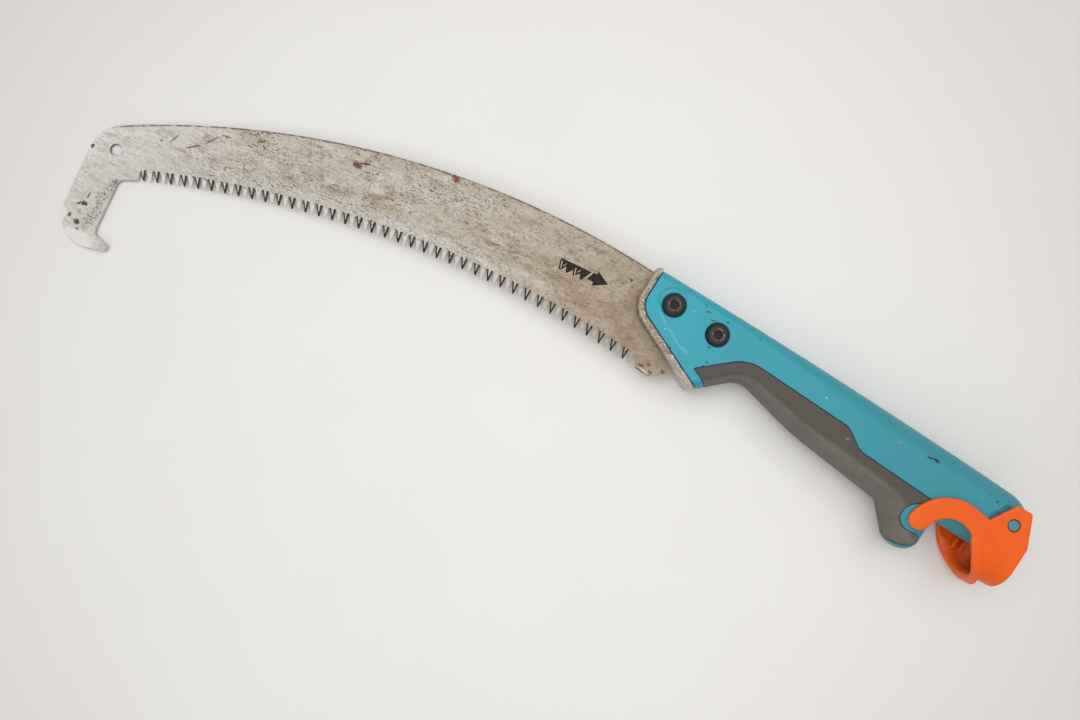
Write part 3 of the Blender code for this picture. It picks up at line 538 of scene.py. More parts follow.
def shell_field(side):
    """One handle shell; bolt heads sink into the left one, nuts and screw heads into the right one."""
    def field(x, y, z):
        z = z * side
        fade = 1 - ease(x + y / 2, *PANEL_FADE)
        form = handle_field(x, y, z) + PANEL_DEPTH * ease(-PANEL(x, y), -PANEL_EDGE, PANEL_EDGE) * fade
        seat = both(GRIP(x, y), -(form + GRIP_THICKNESS))
        shell = both(form, -seat, SEAT_BLEND)
        shell = both(shell, -AHEAD(x, y), FRONT_BLEND)
        pocket = both(TONGUE(x, y) - FIT_GAP, z - TONGUE_HALF - FIT_GAP)
        shell = both(shell, -pocket)
        bore = both(np.hypot(y - TUBE_Y, z) - SOCKET_RADIUS, TUBE_END_X - SOCKET_DEPTH - x)
        shell = both(shell, -bore, SOCKET_BLEND)
        pin = both(cylinder(x, y, (0, 0), PIVOT_RADIUS), z - LEVER_HALF + PIVOT_SETBACK, PIN_BLEND)
        shell = np.minimum(shell, both(pin, PIN_ROOT - z))
        for place in BOLTS:
            hole = cylinder(x, y, place, BOLT_RADIUS + FIT_GAP)
            if side > 0:
                head = both(cylinder(x, y, place, BOLT_HEAD + FIT_GAP), FRONT_HALF - HEAD_RECESS - z)
            else:
                head = both(hexagon(place, NUT_FLATS + 2 * FIT_GAP)(x, y), FRONT_HALF - NUT_RECESS - z)
            shell = both(shell, -np.minimum(hole, head), HOLE_BLEND)
        if side < 0:
            for place in SCREWS:
                hole = cylinder(x, y, place, SCREW_RADIUS + FIT_GAP)
                depth = half_width(place[0]) - SCREW_RECESS
                head = both(cylinder(x, y, place, SCREW_HEAD + FIT_GAP), depth - z)
                shell = both(shell, -np.minimum(head, hole), HOLE_BLEND)
        return both(shell, SEAM - z, SEAM_BLEND)
    return field


def grip_field(side):
    """One soft grip: a skin over its shell from the border round to the parting line."""
    def field(x, y, z):
        z = z * side
        form = handle_field(x, y, z)
        grip = both(form, GRIP(x, y) + GRIP_GAP, GRIP_BLEND)
        grip = both(grip, -(form + GRIP_THICKNESS - GRIP_GAP))
        return both(grip, SEAM - z, GRIP_SEAM_BLEND)
    return field


def cast_wear(x, y, z):
    """Unevenness of the casting, from crossed waves a few millimetres long."""
    ripple = np.sin(1.1 * x + 0.4 * y) * np.sin(0.9 * y - 0.5 * z + 1)
    return WEAR_DEPTH * (ripple + np.sin(2.3 * y + 1.7 * x) * 0.5)


def bolster_field():
    """The bolster: a worn bead along the handle's front, with a slotted tongue that holds the tang."""
    tip = guard_tip()
    along = Vector((math.cos(FRONT_SLOPE), -math.sin(FRONT_SLOPE)))
    top = top_line(FRONT_X) - FIT_GAP

    def trimmed(line):
        end = Vector(line[-1]) - along * (Vector(line[-1]) - Vector(tip)).dot(along)
        return [(line[0][0], top)] + line[1:-1] + [(end.x, end.y)]

    outside = trimmed(front_line(BOLSTER_WIDTH))
    inside = trimmed(front_line(FIT_GAP))
    corners = [(*p, 0) for p in outside + inside[::-1]]
    last = len(outside) - 1
    corners[0] = (*outside[0], BOLSTER_END_RADIUS)
    corners[last] = (*outside[last], BOLSTER_END_RADIUS)
    region = polygon(rounded(corners))
    crest = rounded(corners[:last + 1], closed=False)
    line = polygon(crest + [(tip[0] + FAR, tip[1] + FAR), (FAR, top + FAR)])
    slot = polygon(rounded((
        (FRONT_X - 2 * BOLSTER_WIDTH, BACK_TOP + FIT_GAP, 0),
        (FRONT_X - 2 * BOLSTER_WIDTH, HEEL[0][1] - FIT_GAP, 0),
        (HEEL[0][0], HEEL[0][1] - FIT_GAP, 0),
        *tang_corners(FIT_GAP),
        *tang_shoulder(FIT_GAP),
    )))
    bead = BOLSTER_WIDTH - FIT_GAP

    def field(x, y, z):
        rise = 1 - np.clip(-line(x, y) / bead, 0, 1)
        height = BOLSTER_EDGE_HALF + (FRONT_HALF - BOLSTER_EDGE_HALF) * np.sqrt(1 - rise * rise)
        body = both(region(x, y), (np.abs(z) - height) * BEAD_SLOPE, BEAD_BLEND) + cast_wear(x, y, z)
        tongue = both(TONGUE(x, y), np.abs(z) - TONGUE_HALF, TONGUE_BLEND)
        body = np.minimum(body, tongue)
        body = both(body, -both(slot(x, y), np.abs(z) - BLADE_HALF - FIT_GAP), SLOT_BLEND)
        for place in BOLTS:
            body = both(body, -cylinder(x, y, place, BOLT_RADIUS + FIT_GAP))
        return body
    return field


def bolt_field(place):
    """A button-head bolt with a hex socket, its profile turned about its own axis."""
    seat = FRONT_HALF - HEAD_RECESS + FIT_GAP
    top = seat + BOLT_HEIGHT
    end = -FRONT_HALF + NUT_RECESS - FIT_GAP - NUT_HEIGHT
    dome = [(BOLT_CROWN + (BOLT_HEAD - BOLT_CROWN) * math.cos(a),
             seat + BOLT_RIM + (BOLT_HEIGHT - BOLT_RIM) * math.sin(a))
            for a in np.linspace(0, math.pi / 2, BOLT_DOME_POINTS)]
    profile = polygon([
        (-BOLT_RADIUS, end),
        (BOLT_RADIUS - BOLT_END_CHAMFER, end),
        (BOLT_RADIUS, end + BOLT_END_CHAMFER),
        (BOLT_RADIUS, seat),
        (BOLT_HEAD - BOLT_RIM_CHAMFER, seat),
        (BOLT_HEAD, seat + BOLT_RIM_CHAMFER),
        *dome,
        (-BOLT_RADIUS, top),
    ])
    socket = hexagon(place, BOLT_SOCKET)

    def field(x, y, z):
        radius = np.hypot(x - place[0], y - place[1])
        key = both(socket(x, y), top - BOLT_SOCKET_DEPTH - z)
        cone = radius - BOLT_SOCKET / math.sqrt(3) - KEY_CHAMFER - (z - top)
        chamfer = both(cone, top - BOLT_SOCKET_DEPTH / 2 - z)
        return both(both(profile(radius, z), -key, KEY_BLEND), -chamfer, KEY_CHAMFER_BLEND)
    return field


def nut_field(place):
    middle = -FRONT_HALF + NUT_RECESS - FIT_GAP - NUT_HEIGHT / 2
    sides = hexagon(place, NUT_FLATS)
    outwards, upwards = NUT_CHAMFER_SLOPE

    def field(x, y, z):
        radius = np.hypot(x - place[0], y - place[1])
        ends = np.abs(z - middle) - NUT_HEIGHT / 2
        nut = both(sides(x, y), ends, NUT_EDGE_BLEND)
        cone = (radius - NUT_FLATS / 2 - NUT_CHAMFER) * outwards + ends * upwards
        nut = both(nut, cone, NUT_CHAMFER_BLEND)
        return both(nut, -(radius - BOLT_RADIUS - FIT_GAP), NUT_EDGE_BLEND)
    return field


def screw_field(place):
    """A pan-head screw with a cross in its head, pointing to the left side."""
    seat = SCREW_RECESS - half_width(place[0]) - FIT_GAP
    low = seat - SCREW_HEAD_HEIGHT
    end = seat + SCREW_LENGTH
    profile = polygon([
        (-SCREW_PAST_AXIS, low),
        *[(radius, low + height) for radius, height in SCREW_CROWN],
        (SCREW_HEAD, seat),
        (SCREW_RADIUS, seat),
        (SCREW_RADIUS, end - SCREW_RADIUS),
        (0, end),
        (-SCREW_PAST_AXIS, end),
    ])

    def field(x, y, z):
        u, v = np.abs(x - place[0]), np.abs(y - place[1])
        cross = np.minimum(both(u - CROSS_HALF, v - CROSS_REACH), both(v - CROSS_HALF, u - CROSS_REACH))
        cross = both(cross, z - low - CROSS_DEPTH + CROSS_SLOPE * np.maximum(u, v))
        return both(profile(np.hypot(u, v), z), -cross, CROSS_BLEND)
    return field


def trough_section(half, bottom, corner):
    """Field in (z, y) of a space with upright sides and a bottom with rounded corners, open at the top."""
    def field(y, z):
        u = np.abs(z) - half + corner
        v = bottom + corner - y
        return np.hypot(np.maximum(u, 0), np.maximum(v, 0)) + np.minimum(np.maximum(u, v), 0) - corner
    return field


def mouth_line(start, behind):
    """Corners of the scoop's mouth in side view, from a way below its top, moved back into the scoop."""
    upper = (Vector(MOUTH_BEND) - Vector(MOUTH_TOP)).normalized()
    lower = Vector((math.cos(MOUTH_FOOT), -math.sin(MOUTH_FOOT)))
    first = Vector(MOUTH_TOP) + upper * start + Vector((-upper.y, upper.x)) * behind
    second = Vector(MOUTH_BEND) + Vector((-lower.y, lower.x)) * behind
    corner = meeting_point(first, upper, second, lower)
    foot = meeting_point(second, lower, (0, LEVER_FOOT), (1, 0))
    return [(*first, 0), (*corner, MOUTH_BEND_RADIUS - behind), (*foot, 0)]


def lip_strip():
    """The lip in side view, along the scoop's mouth; its straight back nears the mouth's foot."""
    front = rounded(mouth_line(LIP_START, -LIP_FRONT), closed=False)
    top = mouth_line(LIP_START, LIP_WIDTH)[0][:2]
    foot = meeting_point(top, (math.cos(LIP_BACK), -math.sin(LIP_BACK)), front[-1], (1, 0))
    return front + [tuple(foot), top]


def lever_outline():
    """The lever from the side: arms, finger hole, notch, cheek and the scoop's sloping mouth."""
    inner = arc(ARM_CENTRE, ARM_INNER, MOUTH_START, ARM_END)
    around = arc(arm_tip(), (ARM_OUTER - ARM_INNER) / 2, ARM_END + math.pi, ARM_END)
    outer = arc(ARM_CENTRE, ARM_OUTER, ARM_END, math.pi / 2)
    cheek = rounded(((*outer[-1], 0), *CHEEK, (LEVER_REAR_X, LEVER_FOOT, 0), *reversed(mouth_line(0, 0))),
                    closed=False)
    return inner[1:] + around[1:] + outer[1:] + cheek[1:]


def lever_field():
    """The lever: a plate bent into a trough, with its lip, scoop, arms, ribs and pivot holes."""
    inner_half = LEVER_HALF - LEVER_WALL
    lip_bottom = LEVER_BOTTOM - LIP_FLARE
    side_view = polygon(lever_outline())
    strip = polygon(lip_strip())
    outside = trough_section(LEVER_HALF, LEVER_BOTTOM, LEVER_CORNER)
    inside = trough_section(inner_half, LEVER_BOTTOM + LEVER_WALL, SCOOP_CORNER)
    lip_outside = trough_section(LEVER_HALF - LIP_SETBACK, lip_bottom, LIP_CORNER)
    lip_inside = trough_section(LEVER_HALF - LIP_SIDE_WALL, lip_bottom + LIP_WALL, LIP_INSIDE_CORNER)
    mouth = rounded(mouth_line(-FAR, 0), closed=False)
    ahead = polygon(mouth + [(mouth[-1][0], -2 * FAR), (-3 * FAR, -2 * FAR), (-3 * FAR, mouth[0][1])])
    mouth_x, mouth_y = MOUTH_TOP
    rib_middle = sum(RIB_SPAN) / 2
    rib_half = (RIB_SPAN[1] - RIB_SPAN[0]) / 2

    def field(x, y, z):
        wide = np.abs(z)
        cupped = ease(x, mouth_x - CUP_AHEAD, mouth_x + CUP_BEHIND)
        section = (wide - LEVER_HALF) * (1 - cupped) + outside(y, z) * cupped
        plate = both(side_view(x, y), section, PLATE_BLEND)
        lip = both(lip_outside(y, z), strip(x, y), LIP_BLEND)
        behind = ahead(x, y)
        flare = (1 - np.clip(behind / FLARE_DEPTH, 0, 1)) ** 2 * ease(behind, *FLARE_AHEAD)
        flare = flare * ease(mouth_y - y, *FLARE_BELOW)
        space = inside(y, z) * (1 - flare) + lip_inside(y, z) * flare
        scoop = both(space, x - LEVER_REAR_X + LEVER_WALL, SCOOP_BLEND)
        arms = both(x - mouth_x, wide - inner_half)
        way = both(REAR_WALL_TOP - y, wide - inner_half)
        hollow = np.minimum(np.minimum(scoop, arms), way)
        lever = both(either(plate, lip, LIP_JOIN_BLEND), -hollow, RIM_BLEND)
        for place in RIB_X:
            along = np.abs(x - place - RIB_WIDTH / 2) - RIB_WIDTH / 2
            rib = both(along, np.abs(wide - inner_half) - RIB_REACH)
            rib = both(rib, np.abs(y - rib_middle) - rib_half, RIB_BLEND)
            lever = either(lever, both(rib, wide - inner_half - LEVER_WALL / 2), RIB_BLEND)
        return both(lever, -cylinder(x, y, (0, 0), PIVOT_HOLE), PIVOT_BLEND)
    return field


def blade_loops():
    """The blade's outline on its right face, in its middle and on its left; teeth are ground by turns."""
    centre = np.array(TOOTH_CENTRE)
    back_y = BACK_CENTRE[1]
    root = TOOTH_RADIUS + TOOTH_DEPTH
    flat = GULLET_FLAT / TOOTH_RADIUS / 2

    def at(radius, angle):
        return tuple(centre + radius * np.array((math.cos(angle), math.sin(angle))))

    def tooth(index, inset):
        heel_side = TOOTH_FIRST + TOOTH_PITCH * index + flat
        hook_side = TOOTH_FIRST + TOOTH_PITCH * (index + 1) - flat
        slant = inset * TOOTH_BEVEL / TOOTH_RADIUS
        tip = hook_side + (heel_side - hook_side) * TOOTH_LEAN + slant / 2
        blunt = TIP_WIDTHS[inset] / TOOTH_RADIUS / 2
        low = TOOTH_RADIUS + inset * TOOTH_LIFT
        return [at(root, heel_side + slant), at(low, tip - blunt),
                at(low, tip + blunt), at(root, hook_side - slant)]

    hook_x = HOOK[-1][0] + HOOK[-1][2]
    back_end = math.acos((hook_x - ARC_X) / BACK_RADIUS)
    last = TOOTH_FIRST + TOOTH_PITCH * TOOTH_COUNT
    hook = rounded(((*at(root, last), 0), (*at(TOOTH_RADIUS, last), 0), *HOOK,
                    (hook_x, back_y + BACK_RADIUS * math.sin(back_end), 0)), closed=False)[1:-1]
    back = [(ARC_X + BACK_RADIUS * math.cos(a), back_y + BACK_RADIUS * math.sin(a))
            for a in np.linspace(back_end, math.pi / 2, BACK_STEPS)]
    tang = rounded(((ARC_X, BACK_TOP, 0), *reversed(tang_shoulder(0)), *reversed(tang_corners(0)),
                    *[(*p, 0) for p in HEEL]), closed=False)[1:]
    right = [p for i in range(TOOTH_COUNT) for p in tooth(i, (i + 1) % 2)]
    middle = [p for i in range(TOOTH_COUNT) for p in tooth(i, 0)]
    left = [p for i in range(TOOTH_COUNT) for p in tooth(i, i % 2)]
    return [np.array(teeth + hook + back + tang) for teeth in (right, middle, left)]


def drawn_in(loop, inset):
    """An outline moved inwards, each point along its corner's middle line; the loop runs clockwise."""
    before = loop - np.roll(loop, 1, 0)
    after = np.roll(loop, -1, 0) - loop
    before /= np.linalg.norm(before, axis=1)[:, None]
    after /= np.linalg.norm(after, axis=1)[:, None]
    normal = np.stack([before[:, 1] + after[:, 1], -before[:, 0] - after[:, 0]], 1)
    normal /= np.linalg.norm(normal, axis=1)[:, None]
    return loop + normal * inset


def plate(loops, hole, signs, half, edge, ground):
    """Vertices, faces and material numbers of a plate with a hole, from its right, middle and left outlines.

    Its edges are broken, the teeth's ground flanks have material 1 and the signs on its left face 2.
    """
    levels = (-half, edge - half, ground - half, half - ground, half - edge, half)
    verts, faces, kinds, rings = [], [], [], []
    for right, middle, left in (loops, (hole, hole, hole)):
        stack = []
        layers = (drawn_in(right, edge), right, middle, middle, left, drawn_in(left, edge))
        for loop, z in zip(layers, levels):
            stack.append(range(len(verts), len(verts) + len(loop)))
            verts += [(p[0], p[1], z) for p in loop]
        rings.append(stack)
        for layer, (low, high) in enumerate(zip(stack, stack[1:])):
            slant = np.linalg.norm((right if layer == 1 else left) - middle, axis=1)
            for i in range(len(low)):
                faces.append((low[i - 1], low[i], high[i], high[i - 1]))
                kinds.append(1 if layer in (1, 3) and slant[i - 1] > 0 and slant[i] > 0 else 0)
    sign_fields = [polygon(s) for s in signs]
    hole_field = polygon([tuple(p) for p in hole])
    for layer, flip in ((0, True), (5, False)):
        loop_ids = [list(stack[layer]) for stack in rings]
        if not flip:
            for sign in signs:
                loop_ids.append(list(range(len(verts), len(verts) + len(sign))))
                verts += [(p[0], p[1], half) for p in sign]
        ids = [i for loop in loop_ids for i in loop]
        edges = []
        start = 0
        for loop in loop_ids:
            edges += [(start + i, start + (i + 1) % len(loop)) for i in range(len(loop))]
            start += len(loop)
        plan = geometry.delaunay_2d_cdt([Vector(verts[i][:2]) for i in ids], edges, [], 1, 1e-7)
        for tri in plan[2]:
            middle = np.mean([verts[ids[i]][:2] for i in tri], axis=0)
            if hole_field(*middle) < 0:
                continue
            faces.append(tuple(ids[i] for i in (tri[::-1] if flip else tri)))
            signed = sum(bool(f(*middle) < 0) for f in sign_fields) % 2
            kinds.append(2 if signed and not flip else 0)
    return verts, faces, kinds


class Paint:
    """A procedural material: colours laid one over another, in patterns placed in the saw's millimetres."""

    def __init__(self, name, roughness, metallic=0.0, specular=0.5):
        self.material = bpy.data.materials.new(name)
        self.material.use_nodes = True
        self.tree = self.material.node_tree
        self.shader = self.tree.nodes["Principled BSDF"]
        self.shader.inputs["Roughness"].default_value = roughness
        self.shader.inputs["Metallic"].default_value = metallic
        self.shader.inputs["Specular IOR Level"].default_value = specular
        self.base = None
        self.rags = {}
        place = self.node("ShaderNodeTexCoord").outputs["Object"]
        place = self.vector("SUBTRACT", place, tuple(PIVOT))
        self.place = self.vector("SCALE", place, scale=1 / MM)
        parts = self.node("ShaderNodeSeparateXYZ", {0: self.place})
        self.x, self.y, self.z = parts.outputs

    def node(self, kind, inputs=None, **settings):
        node = self.tree.nodes.new(kind)
        for key, value in settings.items():
            setattr(node, key, value)
        for key, value in (inputs or {}).items():
            if isinstance(value, bpy.types.NodeSocket):
                self.tree.links.new(value, node.inputs[key])
            else:
                node.inputs[key].default_value = value
        return node

    def vector(self, operation, a, b=None, scale=None):
        inputs = {0: a}
        if b is not None:
            inputs[1] = b
        if scale is not None:
            inputs["Scale"] = scale
        return self.node("ShaderNodeVectorMath", inputs, operation=operation).outputs[0]

    def length(self, vector):
        return self.node("ShaderNodeVectorMath", {0: vector}, operation="LENGTH").outputs["Value"]

    def math(self, operation, a, b=0.0):
        return self.node("ShaderNodeMath", {0: a, 1: b}, operation=operation).outputs[0]

    def chain(self, operation, values):
        total = values[0]
        for value in values[1:]:
            total = self.math(operation, total, value)
        return total

    def noise(self, size, detail=3.0, rough=0.55, stretch=(1, 1, 1), turn=0.0, shift=0.0):
        """Noise of a feature size in millimetres, stretched along a direction in side view."""
        place = self.node("ShaderNodeMapping", {"Vector": self.place, "Rotation": (0, 0, -turn)}).outputs[0]
        place = self.node("ShaderNodeMapping", {
            "Vector": place, "Location": (shift, shift, shift),
            "Scale": tuple(1 / (size * s) for s in stretch)}).outputs[0]
        return self.node("ShaderNodeTexNoise", {"Vector": place, "Scale": 1.0, "Detail": detail,
                                                "Roughness": rough}).outputs[0]

    def ramp(self, value, low, high, first=0.0, last=1.0):
        return self.node("ShaderNodeMapRange", {0: value, 1: low, 2: high, 3: first, 4: last},
                         interpolation_type="SMOOTHSTEP").outputs[0]

    def patches(self, size, low, high, first=0.0, last=1.0, **pattern):
        """Mask from a noise, which is given as for noise() and ramp()."""
        return self.ramp(self.noise(size, **pattern), low, high, first, last)

    def mix(self, factor, a, b):
        return self.node("ShaderNodeMix", {0: factor, 6: a, 7: b}, data_type="RGBA").outputs[2]

    def gradient(self, value, stops):
        """Colour by a value in millimetres, from (value, sRGB colour) stops in rising order."""
        low, high = stops[0][0], stops[-1][0]
        share = self.node("ShaderNodeMapRange", {0: value, 1: low, 2: high}).outputs[0]
        node = self.node("ShaderNodeValToRGB", {0: share})
        elements = node.color_ramp.elements
        elements[0].color = colour(*stops[0][1])
        elements[1].color = colour(*stops[-1][1])
        for place, rgb in stops[1:-1]:
            elements.new((place - low) / (high - low)).color = colour(*rgb)
        return node.outputs[0]

    def distance(self, place):
        """Distance in side view from a place."""
        off = self.vector("SUBTRACT", self.place, (place[0], place[1], 0))
        return self.length(self.vector("MULTIPLY", off, (1, 1, 0)))

    def spot(self, x, y, long, wide, degrees=0, ragged=0.35, grain=1.2):
        """Mask of one spot: an ellipse in side view with a ragged edge."""
        if (ragged, grain) not in self.rags:
            rag = self.math("SUBTRACT", self.noise(grain, 3, 0.6), 0.5)
            self.rags[ragged, grain] = self.math("MULTIPLY", rag, 4 * ragged)
        off = self.vector("SUBTRACT", self.place, (x, y, 0))
        turn = (0, 0, -math.radians(degrees))
        off = self.node("ShaderNodeMapping", {"Vector": off, "Rotation": turn}).outputs[0]
        reach = self.length(self.vector("MULTIPLY", off, (1 / long, 1 / wide, 0)))
        return self.ramp(self.math("ADD", reach, self.rags[ragged, grain]), 1.2, 0.7)

    def spots(self, places, **edge):
        """Mask of several spots, each given as for spot()."""
        return self.chain("MAXIMUM", [self.spot(*p, **edge) for p in places])

    def lay(self, top, *masks):
        """Lay an sRGB colour, or a colour from nodes, over the base as far as the masks' product says."""
        if not isinstance(top, bpy.types.NodeSocket):
            top = colour(*top)
        self.base = self.mix(self.chain("MULTIPLY", masks), self.base, top)

    def dab(self, strength, rgb, places, **edge):
        self.lay(rgb, self.spots(places, **edge), strength)

    def fleck(self, strength, rgb, size, low, high, **pattern):
        """Lay a colour where a noise is high."""
        self.lay(rgb, self.patches(size, low, high, 0, strength, **pattern))

    def finish(self, roughness=None, height=None, depth=0.05):
        self.tree.links.new(self.base, self.shader.inputs["Base Color"])
        if roughness is not None:
            self.tree.links.new(roughness, self.shader.inputs["Roughness"])
        if height is not None:
            bump = self.node("ShaderNodeBump", {"Height": height, "Distance": depth * MM, "Strength": 1.0})
            self.tree.links.new(bump.outputs[0], self.shader.inputs["Normal"])
        return self.material


def colour(red, green, blue):
    """Linear colour, with alpha, of an sRGB colour in 0 to 255."""
    return tuple((c / 255 / 12.92 if c < 10.3 else ((c / 255 + 0.055) / 1.055) ** 2.4)
                 for c in (red, green, blue)) + (1.0,)


# Outlines of the sign on the blade: a row of teeth, the gaps in it and an arrow
SIGN = (
    ((-282.9, -5.4), (-263.8, -3.2), (-266.7, -10.0), (-267.8, -10.5), (-269.0, -7.4), (-271.1, -9.8),
     (-272.2, -10.9), (-273.7, -7.8), (-275.4, -10.8), (-276.6, -11.5), (-277.9, -8.3), (-279.9, -11.6),
     (-281.1, -11.8), (-282.9, -7.1)),
    ((-282.1, -6.7), (-281.4, -6.4), (-280.0, -10.4), (-280.5, -11.0)),
    ((-278.6, -6.2), (-278.9, -7.9), (-279.5, -9.0), (-279.9, -8.6)),
    ((-273.3, -6.2), (-272.6, -5.8), (-271.3, -9.4), (-271.7, -9.9)),
    ((-269.8, -4.9), (-270.1, -6.7), (-270.8, -7.8), (-271.2, -7.5)),
    ((-262.7, -2.7), (-260.8, -2.7), (-261.1, -0.6), (-252.2, -4.3), (-259.9, -9.7), (-260.4, -7.7),
     (-264.4, -8.0)),
)

# Colours along the blade by X, and the lean of its streaks and dashes
STEEL_FADE = ((-550, (236, 234, 230)), (-505, (215, 210, 202)), (-440, (202, 193, 181)),
              (-350, (196, 186, 171)), (-280, (184, 170, 151)), (-220, (172, 155, 132)))
PALE_TOOTH_FADE = ((-520, (228, 226, 221)), (-330, (212, 208, 200)), (-220, (174, 166, 152)))
FLANK_FADE = ((-520, (74, 62, 50)), (-380, (50, 45, 40)), (-220, (54, 44, 36)))
STEEL_LEAN = math.radians(9)
DASH_LEAN = math.radians(5)

# Stains, and on the handle's panel a painted highlight and shade: strength, colour and spots, each as X, Y,
# half length, half width and turn in degrees
BLADE_CLOUDS = (
    (0.60, (142, 120, 84), (
        (-390.1, -31.8, 8, 1.9, 28), (-346.0, -29.9, 8, 1.8, 15), (-438.6, -51.3, 8, 2.2, 6),
        (-290.9, -12.7, 9, 3.2, 10), (-276.5, -16.0, 12, 4, 5), (-337.0, -30.5, 5, 1.5, 0))),
    (0.50, (150, 130, 114), (
        (-415.1, -42.7, 9, 3, 20), (-429.4, -40.1, 9, 5, 20), (-408.4, -39.4, 5, 3, 10),
        (-447.0, -46.0, 6, 3, 25), (-378.0, -24.0, 10, 3, 15))),
    (0.50, (134, 112, 86), (
        (-263.9, -19.4, 9, 4, 5), (-243.4, -15.9, 9, 4, 0), (-295.9, -19.7, 4, 2, 10),
        (-228.0, -24.0, 8, 4, -20), (-236.0, -4.0, 5, 8, 0))),
    (0.65, (122, 96, 66), (
        (-322.2, -19.7, 8.5, 0.9, 4), (-306.4, -16.9, 8.8, 1.0, 15), (-320.0, -20.6, 11, 0.5, 9),
        (-284.0, -17.5, 9, 0.7, 6), (-262.0, -23.0, 8, 0.6, 12))),
)
BLADE_STAINS = (
    (0.60, (172, 136, 86), (
        (-437.7, -33.3, 1.9, 1.4, 0), (-427.6, -27.0, 1.7, 1.3, 0), (-369.5, -29.3, 3.2, 0.7, 55),
        (-344.7, 2.5, 1.5, 1.2, 0), (-318.3, -26.7, 1.4, 1.1, 0), (-460.7, -57.2, 1.2, 0.9, 0))),
    (0.95, (116, 58, 42), (
        (-411.3, -23.0, 3.0, 2.0, 10), (-407.6, -20.0, 3.0, 0.8, 30), (-358.4, 0.6, 3.4, 2.0, -20))),
    (0.85, (80, 60, 44), (
        (-212.0, -32.9, 2.6, 1.0, 10), (-208.4, -30.4, 1.3, 1.0, 0), (-205.6, -33.5, 1.5, 0.9, 0),
        (-199.6, -29.7, 1.5, 0.9, 0), (-220.1, -31.9, 1.1, 0.9, 0), (-222.8, -31.2, 1.1, 0.8, 0),
        (-242.5, 5.0, 1.1, 0.9, 0), (-210.0, -35.9, 4.6, 0.4, -2))),
    (0.80, (96, 74, 56), (
        (-510.5, -66.8, 3.4, 0.6, 69), (-498.5, -65.0, 5.0, 0.6, 42), (-491.5, -56.4, 5.0, 0.55, 58),
        (-484.8, -49.7, 2.6, 0.6, 12), (-465.8, -40.9, 3.0, 0.7, 42), (-535.4, -121.8, 0.7, 2.2, 0))),
    (0.95, (64, 50, 40), (
        (-535.1, -127.0, 2.2, 1.5, 10), (-538.0, -128.8, 1.4, 0.7, 40), (-533.2, -138.3, 2.2, 1.7, 0),
        (-538.9, -137.1, 1.0, 1.4, 0), (-516.3, -71.8, 0.9, 0.7, 0), (-549.3, -96.0, 0.8, 1.4, 0),
        (-530.8, -141.6, 1.2, 0.6, 0))),
    (0.40, (160, 134, 102), (
        (-527.4, -138.8, 2.6, 1.7, 0), (-535.2, -132.4, 1.5, 1.3, 0), (-530.5, -134.5, 1.2, 0.9, 0))),
    (0.90, (234, 216, 204), ((-208.8, -35.0, 2.8, 0.4, -13),)),
)
HOOK_WHITE = ((-530.0, -148.0, 14.0, 6.0, 18), (-543.5, -140.0, 3.2, 6.0, 10))
HOOK_SPECKS = ((-526.4, -109.0, 6.0, 3.2, 80), (-528.2, -118.5, 5.6, 3.4, 95),
               (-526.2, -127.5, 5.6, 2.8, 103), (-528.0, -134.0, 5.0, 3.0, 100))
# Painted shade on the handle beside the lever's notch
NOTCH_SHADE = ((-9.4, 0.4, 5.0, 2.6, 66), (-7.0, 5.2, 4.4, 2.2, 60))
GRIP_SPECKS = ((-97.7, -7.9, 1.0, 0.7, 0), (-112.7, -21.4, 0.6, 0.5, 0), (-82.6, -16.9, 0.7, 0.5, 0))
HANDLE_MARKS_AND_PAINTED_LIGHT = (
    (0.95, (44, 42, 40), ((-54.8, 7.4, 2.6, 0.5, 13), (-51.3, 7.9, 2.2, 0.9, -5))),
    (0.75, (46, 66, 72), (
        (-18.0, 7.6, 0.8, 0.6, 0), (-12.6, 6.7, 1.1, 0.7, 40), (-11.0, 5.4, 0.6, 0.5, 0),
        (-8.9, 1.6, 1.0, 0.6, 60), (-165.4, 12.9, 0.9, 0.5, 0), (-197.4, 10.9, 1.5, 0.5, 20),
        (-200.1, 13.3, 1.2, 0.4, -40), (-192.3, 8.4, 1.5, 0.5, 30), (-185.2, 11.7, 1.0, 0.6, 0),
        (-186.9, -5.6, 1.1, 0.6, 0), (-183.3, -13.2, 1.1, 0.6, 0), (-183.9, -15.9, 0.8, 0.6, 0),
        (-204.6, -16.9, 0.6, 0.6, 0))),
    # Painted highlight along the lower edge of the panel round the front bolt
    (0.50, (112, 200, 212), (
        (-216.0, -5.4, 5.0, 0.8, -31), (-207.1, -10.3, 6.2, 0.8, -27), (-198.5, -13.9, 4.0, 0.8, -15))),
    # Painted shade along the upper edge of the panel above the front bolt
    (0.45, (92, 134, 148), (
        (-223.6, 10.0, 3.2, 0.45, 52), (-217.6, 12.9, 3.8, 0.45, 8), (-211.3, 13.1, 3.4, 0.45, -4),
        (-222.0, 14.6, 3.0, 0.35, 25))),
    (0.60, (170, 206, 210), (
        (-118.7, 5.1, 0.8, 0.6, 0), (-212.6, -9.7, 0.7, 0.5, 0), (-204.3, 7.2, 0.6, 0.4, 0))),
    (0.60, (132, 134, 134), ((-73.4, 5.4, 1.6, 0.9, 15),)),
    (0.65, (88, 134, 140), ((0.0, 0.0, 4.2, 4.2, 0),)),
)
